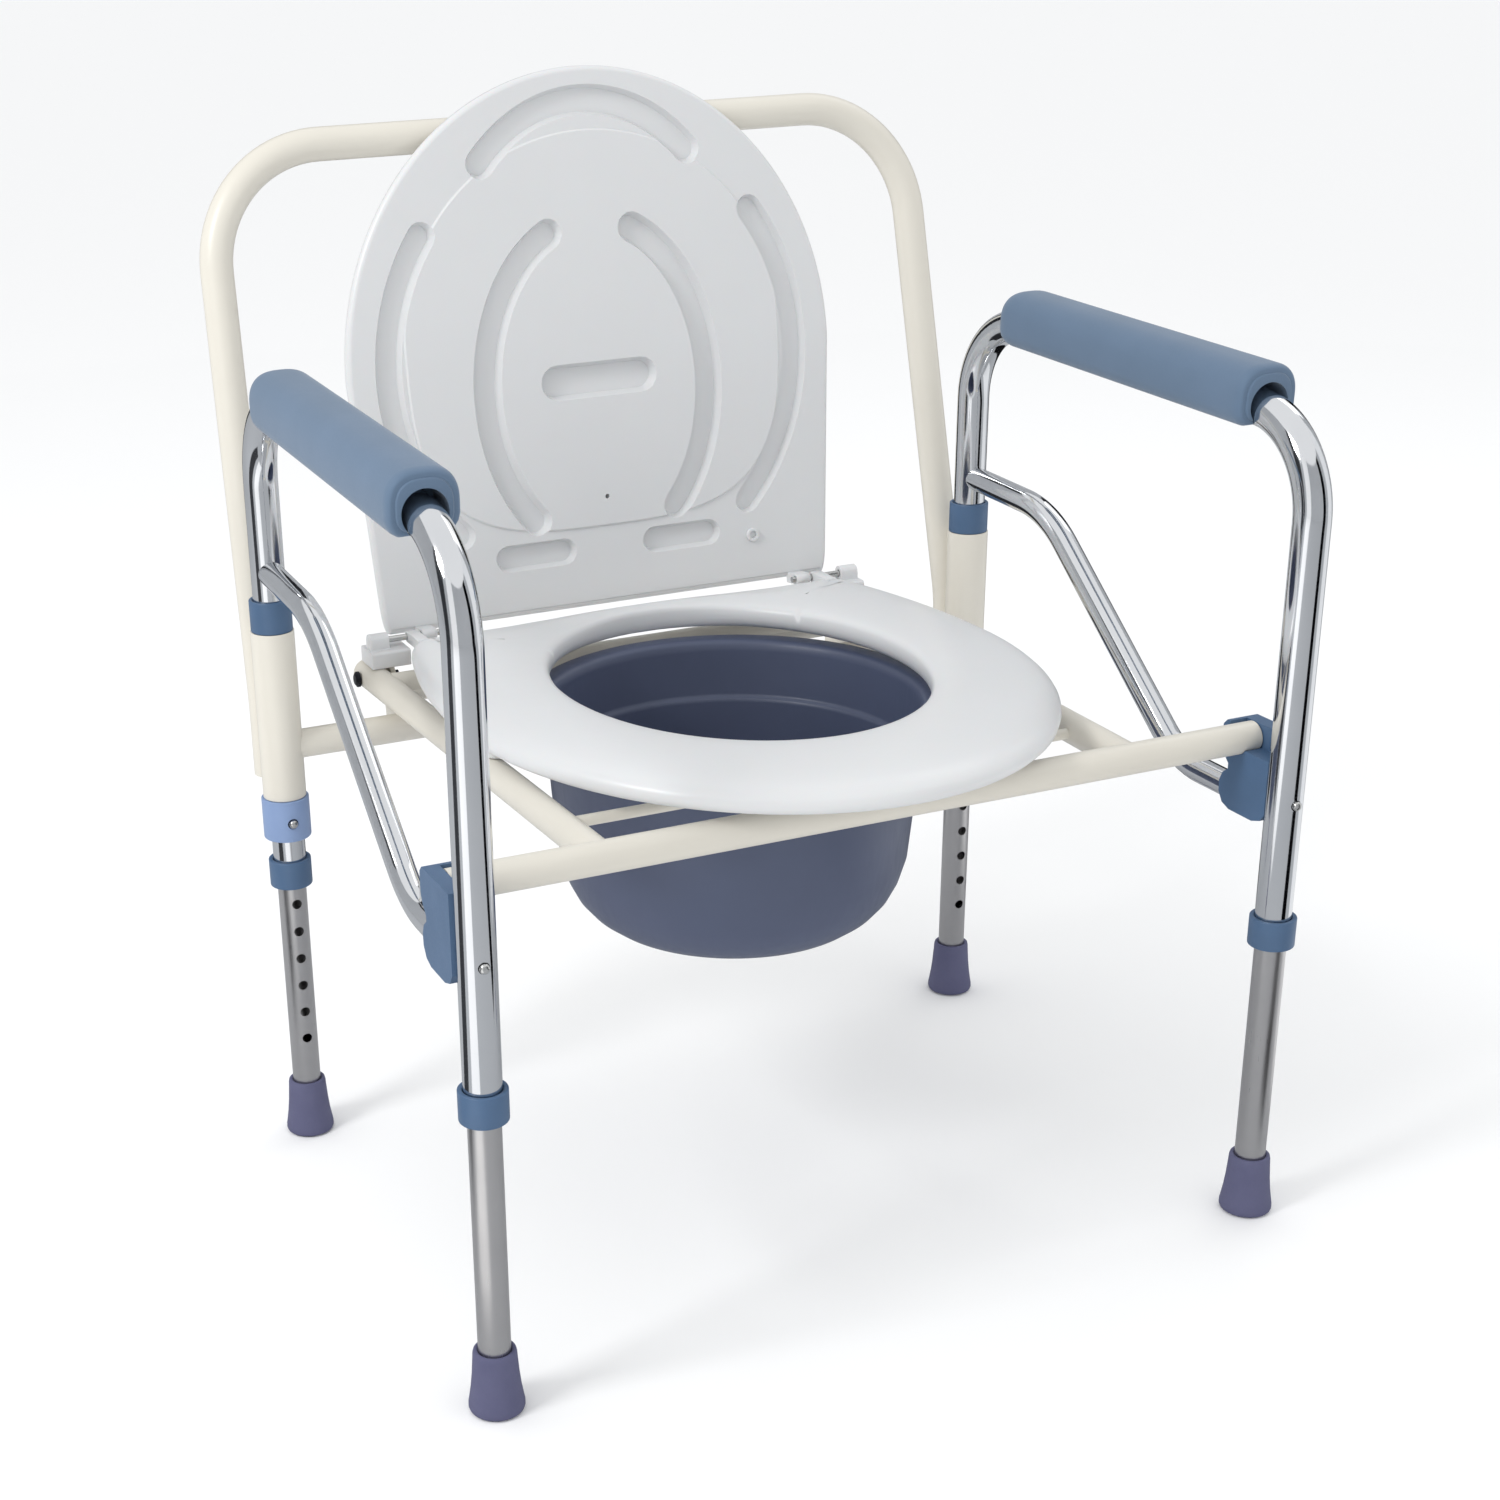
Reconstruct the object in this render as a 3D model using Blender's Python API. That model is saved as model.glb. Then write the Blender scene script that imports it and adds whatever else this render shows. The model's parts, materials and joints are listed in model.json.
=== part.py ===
"""A folding steel commode chair: cream back frame and seat frame, chrome side frames, white seat and lid.

Run it with  blender --background --python part.py  or from Blender's text editor. Metres, +Z up, the
chair faces -Y, the floor is Z = 0 and the origin is under the middle of the chair's outer box.
"""

import math

import bmesh
import bpy
from mathutils import Matrix, Vector

# ---------------------------------------------------------------- driving dimensions
GAP = 0.0003  # left between pieces that touch

LEG_X = 0.301  # centre of every leg, left and right
FRONT_Y = -0.2674  # centre of the front legs
REAR_Y = FRONT_Y + 0.421  # centre of the rear legs and of the sleeves

CHROME_R = 0.0127  # 1 inch tube
CHROME_WALL = 0.0012
INNER_R = 0.0111  # telescopic inner leg tube
INNER_WALL = 0.0012
FRAME_R = 0.0111  # cream seat-frame tube
BACK_R = 0.0125  # cream back tube
SLEEVE_R = 0.0165
SLEEVE_WALL = 0.0015
BRACE_R = 0.0095
BRACE_LOW_Z = 0.318

ARM_FRONT_Z = 0.588  # axis of the arm tube at its front bend
ARM_REAR_Z = 0.602
ARM_BEND_R = 0.066
OUTER_BOTTOM_Z = 0.219  # lower end of the chrome tubes
RING_BOTTOM_Z = 0.217
RING_TOP_Z = 0.239

SLEEVE_BOTTOM_Z = 0.2905
SLEEVE_TOP_Z = 0.4225
BUSH_TOP_Z = 0.447
COLLAR_BOTTOM_Z = 0.2575
COLLAR_R = 0.0183

HOLE_PITCH = 0.0233  # between the height holes of a leg
HOLE_R = 0.0039
FRONT_BUTTON_Z = 0.3265
REAR_BUTTON_Z = 0.2725
BUTTON_R = 0.0034
BUTTON_PROUD = 0.0032
FRONT_HOLES = 5
REAR_HOLES = 9

SEAT_TUBE_Z = 0.360
SEAT_FRONT_Y = FRONT_Y + 0.043  # front tube of the seat frame
SEAT_FRONT_HALF = 0.3035
SIDE_TUBE_FRONT_X = 0.199
SIDE_TUBE_REAR_X = 0.212
SIDE_TUBE_END_Y = FRONT_Y + 0.476
SEAT_REAR_Y = FRONT_Y + 0.430  # rear tube of the seat frame
ROD_R = 0.004
ROD_FRONT_Y = FRONT_Y + 0.106
ROD_REAR_Y = FRONT_Y + 0.404
LOWER_TUBE_Z = 0.330

HINGE_Y = FRONT_Y + 0.458  # common axis of the seat and the lid
HINGE_Z = 0.390
PIN_R = 0.0025
LID_LENGTH = 0.416
LID_HALF = 0.207
LID_REAR_HALF = 0.196
LID_THICK = 0.014
LID_ABOVE_AXIS = 0.012
LUG_R = 0.0045
LID_RECESS = 0.006

SEAT_TOP_Z = 0.4005
SEAT_BOTTOM_Z = 0.380
SEAT_MID_Y = FRONT_Y + 0.250
SEAT_HALF = 0.219
SEAT_FRONT_LENGTH = 0.265
SEAT_REAR_EDGE_Y = HINGE_Y - 0.022
BUFFER_R = 0.010
BUFFER_STEM_R = 0.003
BUFFER_STEM = 0.006  # how far a buffer's stem goes up into the seat
OPENING_MID_Y = FRONT_Y + 0.2485
OPENING_HALF = 0.133
OPENING_LENGTH = 0.161

BUCKET_Y = (ROD_FRONT_Y + ROD_REAR_Y) / 2
BUCKET_TOP_Z = 0.3728
BUCKET_BOTTOM_Z = 0.201

BACK_BEND_Z = 0.3564  # where the back tube starts to lean
BACK_Y = REAR_Y + SLEEVE_R + BACK_R + GAP
BACK_SLOPE = 0.2284
BACK_TOP_Z = 0.7553
BACK_CORNER_R = 0.090
BACK_HALF_LOW = 0.303
BACK_HALF_HIGH = 0.2925
BACK_BOTTOM_Z = 0.2995
BACK_TOP_Y = BACK_Y + BACK_SLOPE * (BACK_TOP_Z - BACK_BEND_Z)

# The open lid leans back until it meets the back tube.
LID_LEAN = math.acos(
    (LID_ABOVE_AXIS + LID_THICK + BACK_R + 0.0008) / math.hypot(BACK_TOP_Y - HINGE_Y, BACK_TOP_Z - HINGE_Z)
) - math.atan2(BACK_TOP_Z - HINGE_Z, BACK_TOP_Y - HINGE_Y)

FOOT_HEIGHT = 0.046
FOOT_FLOOR = 0.006

PAD_SCREW_SHARES = (0.30, 0.68)  # where the pad screws sit along the arm's straight top

CREAM = "cream powder-coated steel tube", (0.74, 0.69, 0.60), 0.38, 0.0
CHROME = "chrome-plated steel tube", (0.78, 0.79, 0.80), 0.12, 1.0
SATIN = "satin anodised aluminium tube", (0.62, 0.62, 0.63), 0.34, 1.0
PAD_BLUE = "blue moulded foam arm pad", (0.20, 0.30, 0.43), 0.62, 0.0
CLIP_BLUE = "dark blue moulded nylon", (0.06, 0.12, 0.24), 0.42, 0.0
COLLAR_BLUE = "light blue moulded nylon", (0.19, 0.31, 0.52), 0.42, 0.0
FOOT_GREY = "purple-grey rubber", (0.13, 0.13, 0.22), 0.7, 0.0
WHITE = "white moulded polypropylene", (0.80, 0.81, 0.81), 0.33, 0.0
PAIL = "blue-grey moulded polypropylene", (0.10, 0.12, 0.19), 0.40, 0.0
ZINC = "zinc-plated steel", (0.60, 0.60, 0.58), 0.30, 1.0
DARK = "black-oxide steel", (0.05, 0.05, 0.055), 0.40, 1.0


# ---------------------------------------------------------------- helpers
def clear_scene():
    for obj in list(bpy.data.objects):
        bpy.data.objects.remove(obj)


def material(spec):
    name, colour, roughness, metallic = spec
    found = bpy.data.materials.get(name)
    if found:
        return found
    made = bpy.data.materials.new(name)
    made.use_nodes = True
    made.diffuse_color = (*colour, 1)
    shader = made.node_tree.nodes["Principled BSDF"]
    shader.inputs["Base Color"].default_value = (*colour, 1)
    shader.inputs["Roughness"].default_value = roughness
    shader.inputs["Metallic"].default_value = metallic
    return made


def finish_object(name, mesh, spec, smooth=True):
    """Links the mesh as an object called name, with its material and its smoothing."""
    obj = bpy.data.objects.new(name, mesh)
    bpy.context.scene.collection.objects.link(obj)
    if spec:
        mesh.materials.append(material(spec))
    if smooth:
        mesh.shade_smooth()
        mesh.set_sharp_from_angle(angle=math.radians(35))
    return obj


def mesh_from(bm, name):
    bmesh.ops.recalc_face_normals(bm, faces=bm.faces)
    mesh = bpy.data.meshes.new(name)
    bm.to_mesh(mesh)
    bm.free()
    return mesh


def hide(obj):
    obj.hide_render = True
    obj.display_type = "WIRE"
    return obj


def boolean(obj, others, operation="DIFFERENCE"):
    for other in others:
        modifier = obj.modifiers.new(other.name, "BOOLEAN")
        modifier.operation = operation
        modifier.solver = "EXACT"
        modifier.object = hide(other)
    return obj


def rings_mesh(name, rings, closed_loop=False):
    """Joins rings of points, each with the same count. The ends are capped unless the rings form a loop."""
    bm = bmesh.new()
    made = [[bm.verts.new(point) for point in ring] for ring in rings]
    count = len(rings[0])
    pairs = list(zip(made, made[1:]))
    if closed_loop:
        pairs.append((made[-1], made[0]))
    for low, high in pairs:
        for i in range(count):
            j = (i + 1) % count
            bm.faces.new((low[i], low[j], high[j], high[i]))
    if not closed_loop:
        bm.faces.new(made[0][::-1])
        bm.faces.new(made[-1])
    return mesh_from(bm, name)


def turned_mesh(name, profile, sides=20):
    """Turns a closed profile of (radius, z) points about Z. A profile that touches the axis is solid."""
    on_axis = [i for i, (radius, _) in enumerate(profile) if radius < 1e-6]
    bm = bmesh.new()
    rows = []
    for radius, z in profile:
        if radius < 1e-6:
            rows.append([bm.verts.new((0, 0, z))] * sides)
            continue
        angles = (2 * math.pi * i / sides for i in range(sides))
        rows.append([bm.verts.new((radius * math.cos(a), radius * math.sin(a), z)) for a in angles])
    last = len(profile) if not on_axis else len(profile) - 1
    for k in range(last):
        low, high = rows[k], rows[(k + 1) % len(rows)]
        for i in range(sides):
            j = (i + 1) % sides
            corners = list(dict.fromkeys((low[i], low[j], high[j], high[i])))
            if len(corners) > 2:
                bm.faces.new(corners)
    return mesh_from(bm, name)


def turned(name, profile, place, spec, sides=20, direction=(0, 0, 1)):
    """A turned piece whose own Z points along direction, with its origin at place."""
    obj = finish_object(name, turned_mesh(name, profile, sides), spec)
    turn = Vector((0, 0, 1)).rotation_difference(Vector(direction)).to_matrix().to_4x4()
    obj.matrix_world = Matrix.Translation(place) @ turn
    return obj


def rod(name, start, end, radius, spec, sides=16):
    """A plain round bar from start to end."""
    start, end = Vector(start), Vector(end)
    length = (end - start).length
    return turned(name, [(0, 0), (radius, 0), (radius, length), (0, length)], start, spec, sides, end - start)


def pipe_profile(outer, inner, low, high):
    return [(outer, low), (outer, high), (inner, high), (inner, low)]


def rounded_path(corners, radii, steps):
    """The corner points with each inner corner replaced by an arc of its radius, in steps pieces."""
    points = [Vector(corners[0])]
    for before, corner, after, radius in zip(corners, corners[1:], corners[2:], radii):
        before, corner, after = Vector(before), Vector(corner), Vector(after)
        towards, away = (before - corner).normalized(), (after - corner).normalized()
        half = towards.angle(away) / 2
        reach = radius / math.tan(half)
        centre = corner + (towards + away).normalized() * (radius / math.sin(half))
        start, end = corner + towards * reach - centre, corner + away * reach - centre
        turn = start.rotation_difference(end)
        for i in range(steps + 1):
            part = turn.copy()
            part.angle = turn.angle * i / steps
            points.append(centre + part @ start)
    points.append(Vector(corners[-1]))
    return points


def swept_rings(path, radius, sides, sideways):
    """Rings of a round tube along a path. Sideways is never parallel to the path."""
    rings = []
    for i, point in enumerate(path):
        back = (point - path[i - 1]).normalized() if i else Vector()
        forth = (path[i + 1] - point).normalized() if i + 1 < len(path) else Vector()
        along = (back + forth).normalized()
        across = (sideways - along * sideways.dot(along)).normalized()
        other = along.cross(across)
        angles = (2 * math.pi * (k + 0.5) / sides for k in range(sides))
        rings.append([point + across * radius * math.cos(a) + other * radius * math.sin(a) for a in angles])
    return rings


def swept_tube(name, path, radius, wall, spec, sides=16, sideways=(1, 0, 0)):
    """A hollow tube, open at both ends, or a solid bar when wall is None."""
    sideways = Vector(sideways)
    rings = swept_rings(path, radius, sides, sideways)
    if wall is None:
        mesh = rings_mesh(name, rings)
    else:
        rings += swept_rings(path, radius - wall, sides, sideways)[::-1]
        mesh = rings_mesh(name, rings, closed_loop=True)
    return finish_object(name, mesh, spec)


def prism_mesh(name, outline, low, high):
    """Extrudes an outline of (x, y) points from z = low to z = high."""
    bm = bmesh.new()
    face = bm.faces.new([bm.verts.new((x, y, low)) for x, y in outline])
    grown = bmesh.ops.extrude_face_region(bm, geom=[face])["geom"]
    corners = [item for item in grown if isinstance(item, bmesh.types.BMVert)]
    bmesh.ops.translate(bm, vec=(0, 0, high - low), verts=corners)
    return mesh_from(bm, name)


def side_prism(name, outline, low_x, high_x, spec=None):
    """Extrudes an outline of (y, z) points from x = low_x to x = high_x."""
    mesh = prism_mesh(name, outline, low_x, high_x)
    mesh.transform(Matrix(((0, 0, 1, 0), (1, 0, 0, 0), (0, 1, 0, 0), (0, 0, 0, 1))))
    return finish_object(name, mesh, spec, smooth=False)


def ring_plate_mesh(name, outer, inner, low, high):
    """A plate with one hole; outer and inner hold the same number of (x, y) points."""
    rings = [
        [(*point, low) for point in outer],
        [(*point, high) for point in outer],
        [(*point, high) for point in inner],
        [(*point, low) for point in inner],
    ]
    return rings_mesh(name, rings, closed_loop=True)


def bevelled(obj, width, segments=2, angle=40):
    modifier = obj.modifiers.new("bevel", "BEVEL")
    modifier.width = width
    modifier.segments = segments
    modifier.limit_method = "ANGLE"
    modifier.angle_limit = math.radians(angle)
    modifier.use_clamp_overlap = True
    return obj


def box(name, low, high, spec=None):
    outline = [(low[0], low[1]), (high[0], low[1]), (high[0], high[1]), (low[0], high[1])]
    return finish_object(name, prism_mesh(name, outline, low[2], high[2]), spec, smooth=False)


def cutter_bar(name, start, end, radius, sides=20):
    """A hidden round bar, with its place in its mesh."""
    bar = rod(name, start, end, radius, None, sides)
    bar.data.transform(bar.matrix_basis)
    bar.matrix_basis = Matrix.Identity(4)
    return hide(bar)


def stadium(start, end, radius, steps=4):
    """The outline of a slot with round ends, along a straight line in the plane."""
    (x0, y0), (x1, y1) = start, end
    facing = math.atan2(y1 - y0, x1 - x0)
    points = []
    for (x, y), first in (((x1, y1), facing - math.pi / 2), ((x0, y0), facing + math.pi / 2)):
        for i in range(steps + 1):
            angle = first + math.pi * i / steps
            points.append((x + radius * math.cos(angle), y + radius * math.sin(angle)))
    return points


def arc_slot(centre, semi, first, last, radius, steps=8):
    """The outline of a slot with round ends that follows part of an ellipse."""
    middle = []
    for i in range(steps + 1):
        angle = math.radians(first + (last - first) * i / steps)
        middle.append(Vector((centre[0] + semi[0] * math.cos(angle), centre[1] + semi[1] * math.sin(angle))))
    left, right = [], []
    for i, point in enumerate(middle):
        along = (middle[min(i + 1, steps)] - middle[max(i - 1, 0)]).normalized()
        across = Vector((-along.y, along.x)) * radius
        left.append(point + across)
        right.append(point - across)
    ends = []
    for point, towards in ((middle[-1], middle[-1] - middle[-2]), (middle[0], middle[0] - middle[1])):
        facing = math.atan2(towards.y, towards.x)
        angles = (facing + math.pi * (0.25 - 0.25 * k) for k in range(3))
        ends.append([point + Vector((math.cos(a), math.sin(a))) * radius for a in angles])
    outline = left + ends[0] + right[::-1] + ends[1]
    return [(point.x, point.y) for point in outline]


# ---------------------------------------------------------------- back frame
def back_frame():
    corners = [
        (-BACK_HALF_LOW, BACK_Y, BACK_BOTTOM_Z),
        (-BACK_HALF_LOW, BACK_Y, BACK_BEND_Z),
        (-BACK_HALF_HIGH, BACK_TOP_Y, BACK_TOP_Z),
        (BACK_HALF_HIGH, BACK_TOP_Y, BACK_TOP_Z),
        (BACK_HALF_LOW, BACK_Y, BACK_BEND_Z),
        (BACK_HALF_LOW, BACK_Y, BACK_BOTTOM_Z),
    ]
    path = rounded_path(corners, [0.14, BACK_CORNER_R, BACK_CORNER_R, 0.14], 4)
    swept_tube("back_tube", path, BACK_R, 0.0015, CREAM, 14, (0, 1, -0.4))
    for side, sign in (("left", -1), ("right", 1)):
        place = (sign * LEG_X, REAR_Y, 0)
        inner = SLEEVE_R - SLEEVE_WALL
        turned(f"{side}_sleeve", pipe_profile(SLEEVE_R, inner, SLEEVE_BOTTOM_Z, SLEEVE_TOP_Z), place, CREAM)
        bore, insert = CHROME_R + GAP, inner - GAP
        bush = [
            (insert, SLEEVE_TOP_Z - 0.030),
            (insert, SLEEVE_TOP_Z + GAP),
            (0.0158, SLEEVE_TOP_Z + GAP),
            (0.0158, BUSH_TOP_Z - 0.0012),
            (0.0149, BUSH_TOP_Z),
            (bore, BUSH_TOP_Z),
            (bore, SLEEVE_TOP_Z - 0.030),
        ]
        turned(f"{side}_sleeve_bush", bush, place, CLIP_BLUE)
        pivot_bracket(side, sign)
    lower_cross_tube()


def lower_cross_tube():
    start, end = (-LEG_X, REAR_Y, LOWER_TUBE_Z), (LEG_X, REAR_Y, LOWER_TUBE_Z)
    tube = rod("lower_cross_tube", start, end, FRAME_R, CREAM)
    reach = 0.4
    ends = (-reach, REAR_Y, LOWER_TUBE_Z), (reach, REAR_Y, LOWER_TUBE_Z)
    cutters = [cutter_bar("lower_cross_tube_bore", *ends, FRAME_R - 0.0015, 12)]
    for sign in (-1, 1):
        x = sign * LEG_X
        cope = cutter_bar("lower_cross_tube_cope", (x, REAR_Y, 0.2), (x, REAR_Y, 0.5), SLEEVE_R + GAP, 24)
        cutters.append(cope)
    boolean(tube, cutters)


def pivot_bracket(side, sign):
    """A flat steel lug behind the lower cross tube that carries the seat frame's rear pivot."""
    pivot_y, pivot_z = SIDE_TUBE_END_Y - 0.014, SEAT_TUBE_Z
    weld_y = REAR_Y + FRAME_R + GAP
    outline = [
        (weld_y, LOWER_TUBE_Z - 0.009),
        (pivot_y + 0.009, LOWER_TUBE_Z - 0.009),
        (pivot_y + 0.0105, LOWER_TUBE_Z),
    ]
    for i in range(7):
        angle = math.pi * i / 6
        outline.append((pivot_y + 0.0105 * math.cos(angle), pivot_z + 0.0105 * math.sin(angle)))
    outline += [(pivot_y - 0.0105, LOWER_TUBE_Z + 0.014), (weld_y, LOWER_TUBE_Z + 0.009)]
    inner_x = side_tube_x(pivot_y) - FRAME_R - 3 * GAP - 0.004
    xs = sorted((sign * inner_x, sign * (inner_x + 0.004)))
    obj = side_prism(f"{side}_pivot_bracket", outline, *xs, CREAM)
    ends = (sign * 0.17, pivot_y, pivot_z), (sign * 0.26, pivot_y, pivot_z)
    boolean(obj, [cutter_bar(f"{side}_bracket_hole", *ends, 0.0033, 12)])


def side_tube_x(y):
    """How far out the centre of a seat-frame side tube lies at y."""
    share = (y - SEAT_FRONT_Y) / (SIDE_TUBE_END_Y - SEAT_FRONT_Y)
    return SIDE_TUBE_FRONT_X + share * (SIDE_TUBE_REAR_X - SIDE_TUBE_FRONT_X)


# ---------------------------------------------------------------- side frames
def side_frame(side, sign):
    x = sign * LEG_X
    corners = [
        (x, FRONT_Y, OUTER_BOTTOM_Z),
        (x, FRONT_Y, ARM_FRONT_Z),
        (x, REAR_Y, ARM_REAR_Z),
        (x, REAR_Y, OUTER_BOTTOM_Z),
    ]
    path = rounded_path(corners, [ARM_BEND_R, ARM_BEND_R], 6)
    arm = swept_tube(f"{side}_arm_tube", path, CHROME_R, CHROME_WALL, CHROME, 16)
    holes = []
    for y, z in ((FRONT_Y, FRONT_BUTTON_Z), (REAR_Y, REAR_BUTTON_Z)):
        holes.append(cutter_bar(f"{side}_button_hole", (x, y - 0.03, z), (x, y, z), HOLE_R, 10))
    for share in PAD_SCREW_SHARES:
        y, z = arm_axis(share)
        holes.append(cutter_bar(f"{side}_screw_hole", (x, y, z - 0.02), (x, y, z + 0.02), 0.0024, 10))
    boolean(arm, holes)
    brace(side, sign)
    arm_pad(side, sign)
    seat_clip(side, sign)
    retaining_collar(side, sign)
    for end, y in (("front", FRONT_Y), ("rear", REAR_Y)):
        bore, lip = CHROME_R + GAP, INNER_R + 0.0004
        ring = [
            (lip, RING_BOTTOM_Z),
            (0.0158, RING_BOTTOM_Z),
            (0.0164, RING_BOTTOM_Z + 0.001),
            (0.0164, RING_TOP_Z - 0.001),
            (0.0158, RING_TOP_Z),
            (bore, RING_TOP_Z),
            (bore, OUTER_BOTTOM_Z - GAP),
            (lip, OUTER_BOTTOM_Z - GAP),
        ]
        turned(f"{end}_{side}_ring_collar", ring, (x, y, 0), CLIP_BLUE)


def arm_axis(share):
    """The (y, z) of the arm tube's straight top at a share of the way from its front bend to its rear one."""
    return FRONT_Y + share * (REAR_Y - FRONT_Y), ARM_FRONT_Z + share * (ARM_REAR_Z - ARM_FRONT_Z)


def brace(side, sign):
    x = sign * LEG_X
    corners = [
        (x, REAR_Y, 0.468),
        (x, FRONT_Y + 0.306, 0.464),
        (x, FRONT_Y + 0.118, BRACE_LOW_Z),
        (x, FRONT_Y, BRACE_LOW_Z),
    ]
    path = rounded_path(corners, [0.100, 0.080], 7)
    tube = swept_tube(f"{side}_brace_tube", path, BRACE_R, None, CHROME, 14)
    copes = []
    for y in (FRONT_Y, REAR_Y):
        copes.append(cutter_bar(f"{side}_brace_cope", (x, y, 0.2), (x, y, 0.6), CHROME_R + GAP, 24))
    boolean(tube, copes)


def arm_pad(side, sign):
    """A D-section pad over the arm tube, with a tunnel for the tube."""
    start, end = arm_axis(0.130), arm_axis(0.852)
    along = (Vector((0, *end)) - Vector((0, *start))).normalized()
    up = Vector((1, 0, 0)).cross(along)
    half, crown, skirt = 0.024, 0.030, -0.011
    section = [(-0.0165, skirt), (0.0165, skirt), (0.0215, skirt + 0.004), (half, 0.004), (half, 0.012)]
    for i in range(7):
        angle = math.pi * (0.16 + 0.68 * i / 6)
        section.append((half * math.cos(angle), 0.012 + (crown - 0.012) * math.sin(angle)))
    section += [(-half, 0.012), (-half, 0.004), (-0.0215, skirt + 0.004)]
    length = (Vector((0, *end)) - Vector((0, *start))).length
    stations = [(0.0, 0.94), (0.003, 1.0), (length - 0.020, 1.0), (length - 0.008, 0.93), (length, 0.72)]
    rings = []
    for distance, scale in stations:
        middle = Vector((sign * LEG_X, *start)) + along * distance
        lift = 0.006 * (1 - scale)
        rings.append([middle + Vector((1, 0, 0)) * (u * scale) + up * (v * scale + lift) for u, v in section])
    pad = finish_object(f"{side}_arm_pad", rings_mesh(f"{side}_arm_pad", rings), PAD_BLUE)
    x = sign * LEG_X
    reach = 0.06
    tunnel_path = [Vector((x, *start)) - along * reach, Vector((x, *end)) + along * reach]
    tunnel = swept_tube(f"{side}_pad_tunnel", tunnel_path, CHROME_R + GAP, None, None, 24)
    corners = [(x, FRONT_Y, 0.3), (x, FRONT_Y, ARM_FRONT_Z), (x, REAR_Y, ARM_REAR_Z), (x, REAR_Y, 0.3)]
    bend = rounded_path(corners, [ARM_BEND_R, ARM_BEND_R], 8)
    bent = swept_tube(f"{side}_pad_bent_tunnel", bend, CHROME_R + GAP, None, None, 24)
    boolean(pad, [tunnel, bent])
    for place, share in zip(("front", "rear"), PAD_SCREW_SHARES):
        pad_screw(f"{place}_{side}_pad_screw", x, share, pad)


def pad_screw(name, x, share, pad):
    """A pan-head screw that comes up through the arm tube into the pad."""
    y, z = arm_axis(share)
    head_z = z - CHROME_R - GAP - 0.0026
    profile = [(0, 0), (0.0028, 0), (0.0040, 0.0012), (0.0040, 0.0026), (0.0020, 0.0026)]
    profile += [(0.0020, 0.0305), (0, 0.0305)]
    turned(name, profile, (x, y, head_z - 0.0004), ZINC, 12)
    clear = cutter_bar(f"{name}_hole", (x, y, z), (x, y, head_z + 0.0330), 0.0023, 10)
    relief = box(f"{name}_relief", (x - 0.0060, y - 0.0060, z - 0.03), (x + 0.0060, y + 0.0060, z))
    boolean(pad, [clear, relief])


def seat_clip(side, sign):
    """The cradle behind the front leg that holds the end of the seat frame's front tube."""
    low_x, high_x = LEG_X - 0.0110, LEG_X + 0.0145
    y0, y1 = FRONT_Y + 0.006, SEAT_FRONT_Y + 0.0155
    z0, z1 = 0.3060, 0.3710
    outline = [
        (y0, z0 + 0.010),
        (y0 + 0.005, z0 + 0.003),
        (y0 + 0.014, z0),
        (y1 - 0.013, z0),
        (y1 - 0.005, z0 + 0.003),
        (y1 - 0.0005, z0 + 0.010),
        (y1, z0 + 0.018),
        (y1 - 0.003, z0 + 0.025),
        (y1 - 0.0085, z0 + 0.0295),
        (y1 - 0.0085, z0 + 0.0335),
        (y1 - 0.003, z0 + 0.039),
        (y1, z0 + 0.046),
        (y1, z1 - 0.004),
        (y1 - 0.004, z1),
        (y0, z1),
    ]
    clip = side_prism(f"{side}_seat_clip", outline, *sorted((sign * low_x, sign * high_x)), CLIP_BLUE)
    end_x = sign * (SEAT_FRONT_HALF + 0.0008)
    ends = (end_x, SEAT_FRONT_Y, SEAT_TUBE_Z), (sign * 0.2, SEAT_FRONT_Y, SEAT_TUBE_Z)
    bore = cutter_bar(f"{side}_clip_bore", *ends, FRAME_R + GAP, 24)
    xs = sorted((end_x, sign * 0.2))
    high = (xs[1], SEAT_FRONT_Y + 0.0085, 0.5)
    mouth = box(f"{side}_clip_mouth", (xs[0], FRONT_Y, SEAT_TUBE_Z), high)
    low, high = (xs[0], FRONT_Y - 0.02, SEAT_TUBE_Z - 0.006), (xs[1], SEAT_FRONT_Y, 0.5)
    front = box(f"{side}_clip_front", low, high)
    x = sign * LEG_X
    ends = (x, FRONT_Y, BRACE_LOW_Z), (x, FRONT_Y + 0.2, BRACE_LOW_Z)
    for_brace = cutter_bar(f"{side}_clip_brace_bore", *ends, BRACE_R + GAP, 24)
    leg = cutter_bar(f"{side}_clip_leg", (x, FRONT_Y, 0.2), (x, FRONT_Y, 0.5), CHROME_R + GAP, 24)
    boolean(clip, [bore, mouth, front, for_brace, leg])


def retaining_collar(side, sign):
    place = (sign * LEG_X, REAR_Y, 0)
    bore, low, high = CHROME_R + GAP, COLLAR_BOTTOM_Z, SLEEVE_BOTTOM_Z - GAP
    profile = [
        (bore, low),
        (COLLAR_R - 0.001, low),
        (COLLAR_R, low + 0.001),
        (COLLAR_R, high - 0.001),
        (COLLAR_R - 0.001, high),
        (bore, high),
    ]
    collar = turned(f"{side}_retaining_collar", profile, place, COLLAR_BLUE)
    x, y, z = place[0], REAR_Y, REAR_BUTTON_Z
    boolean(collar, [cutter_bar(f"{side}_collar_hole", (x, y - 0.04, z), (x, y, z), HOLE_R, 10)])


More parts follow.
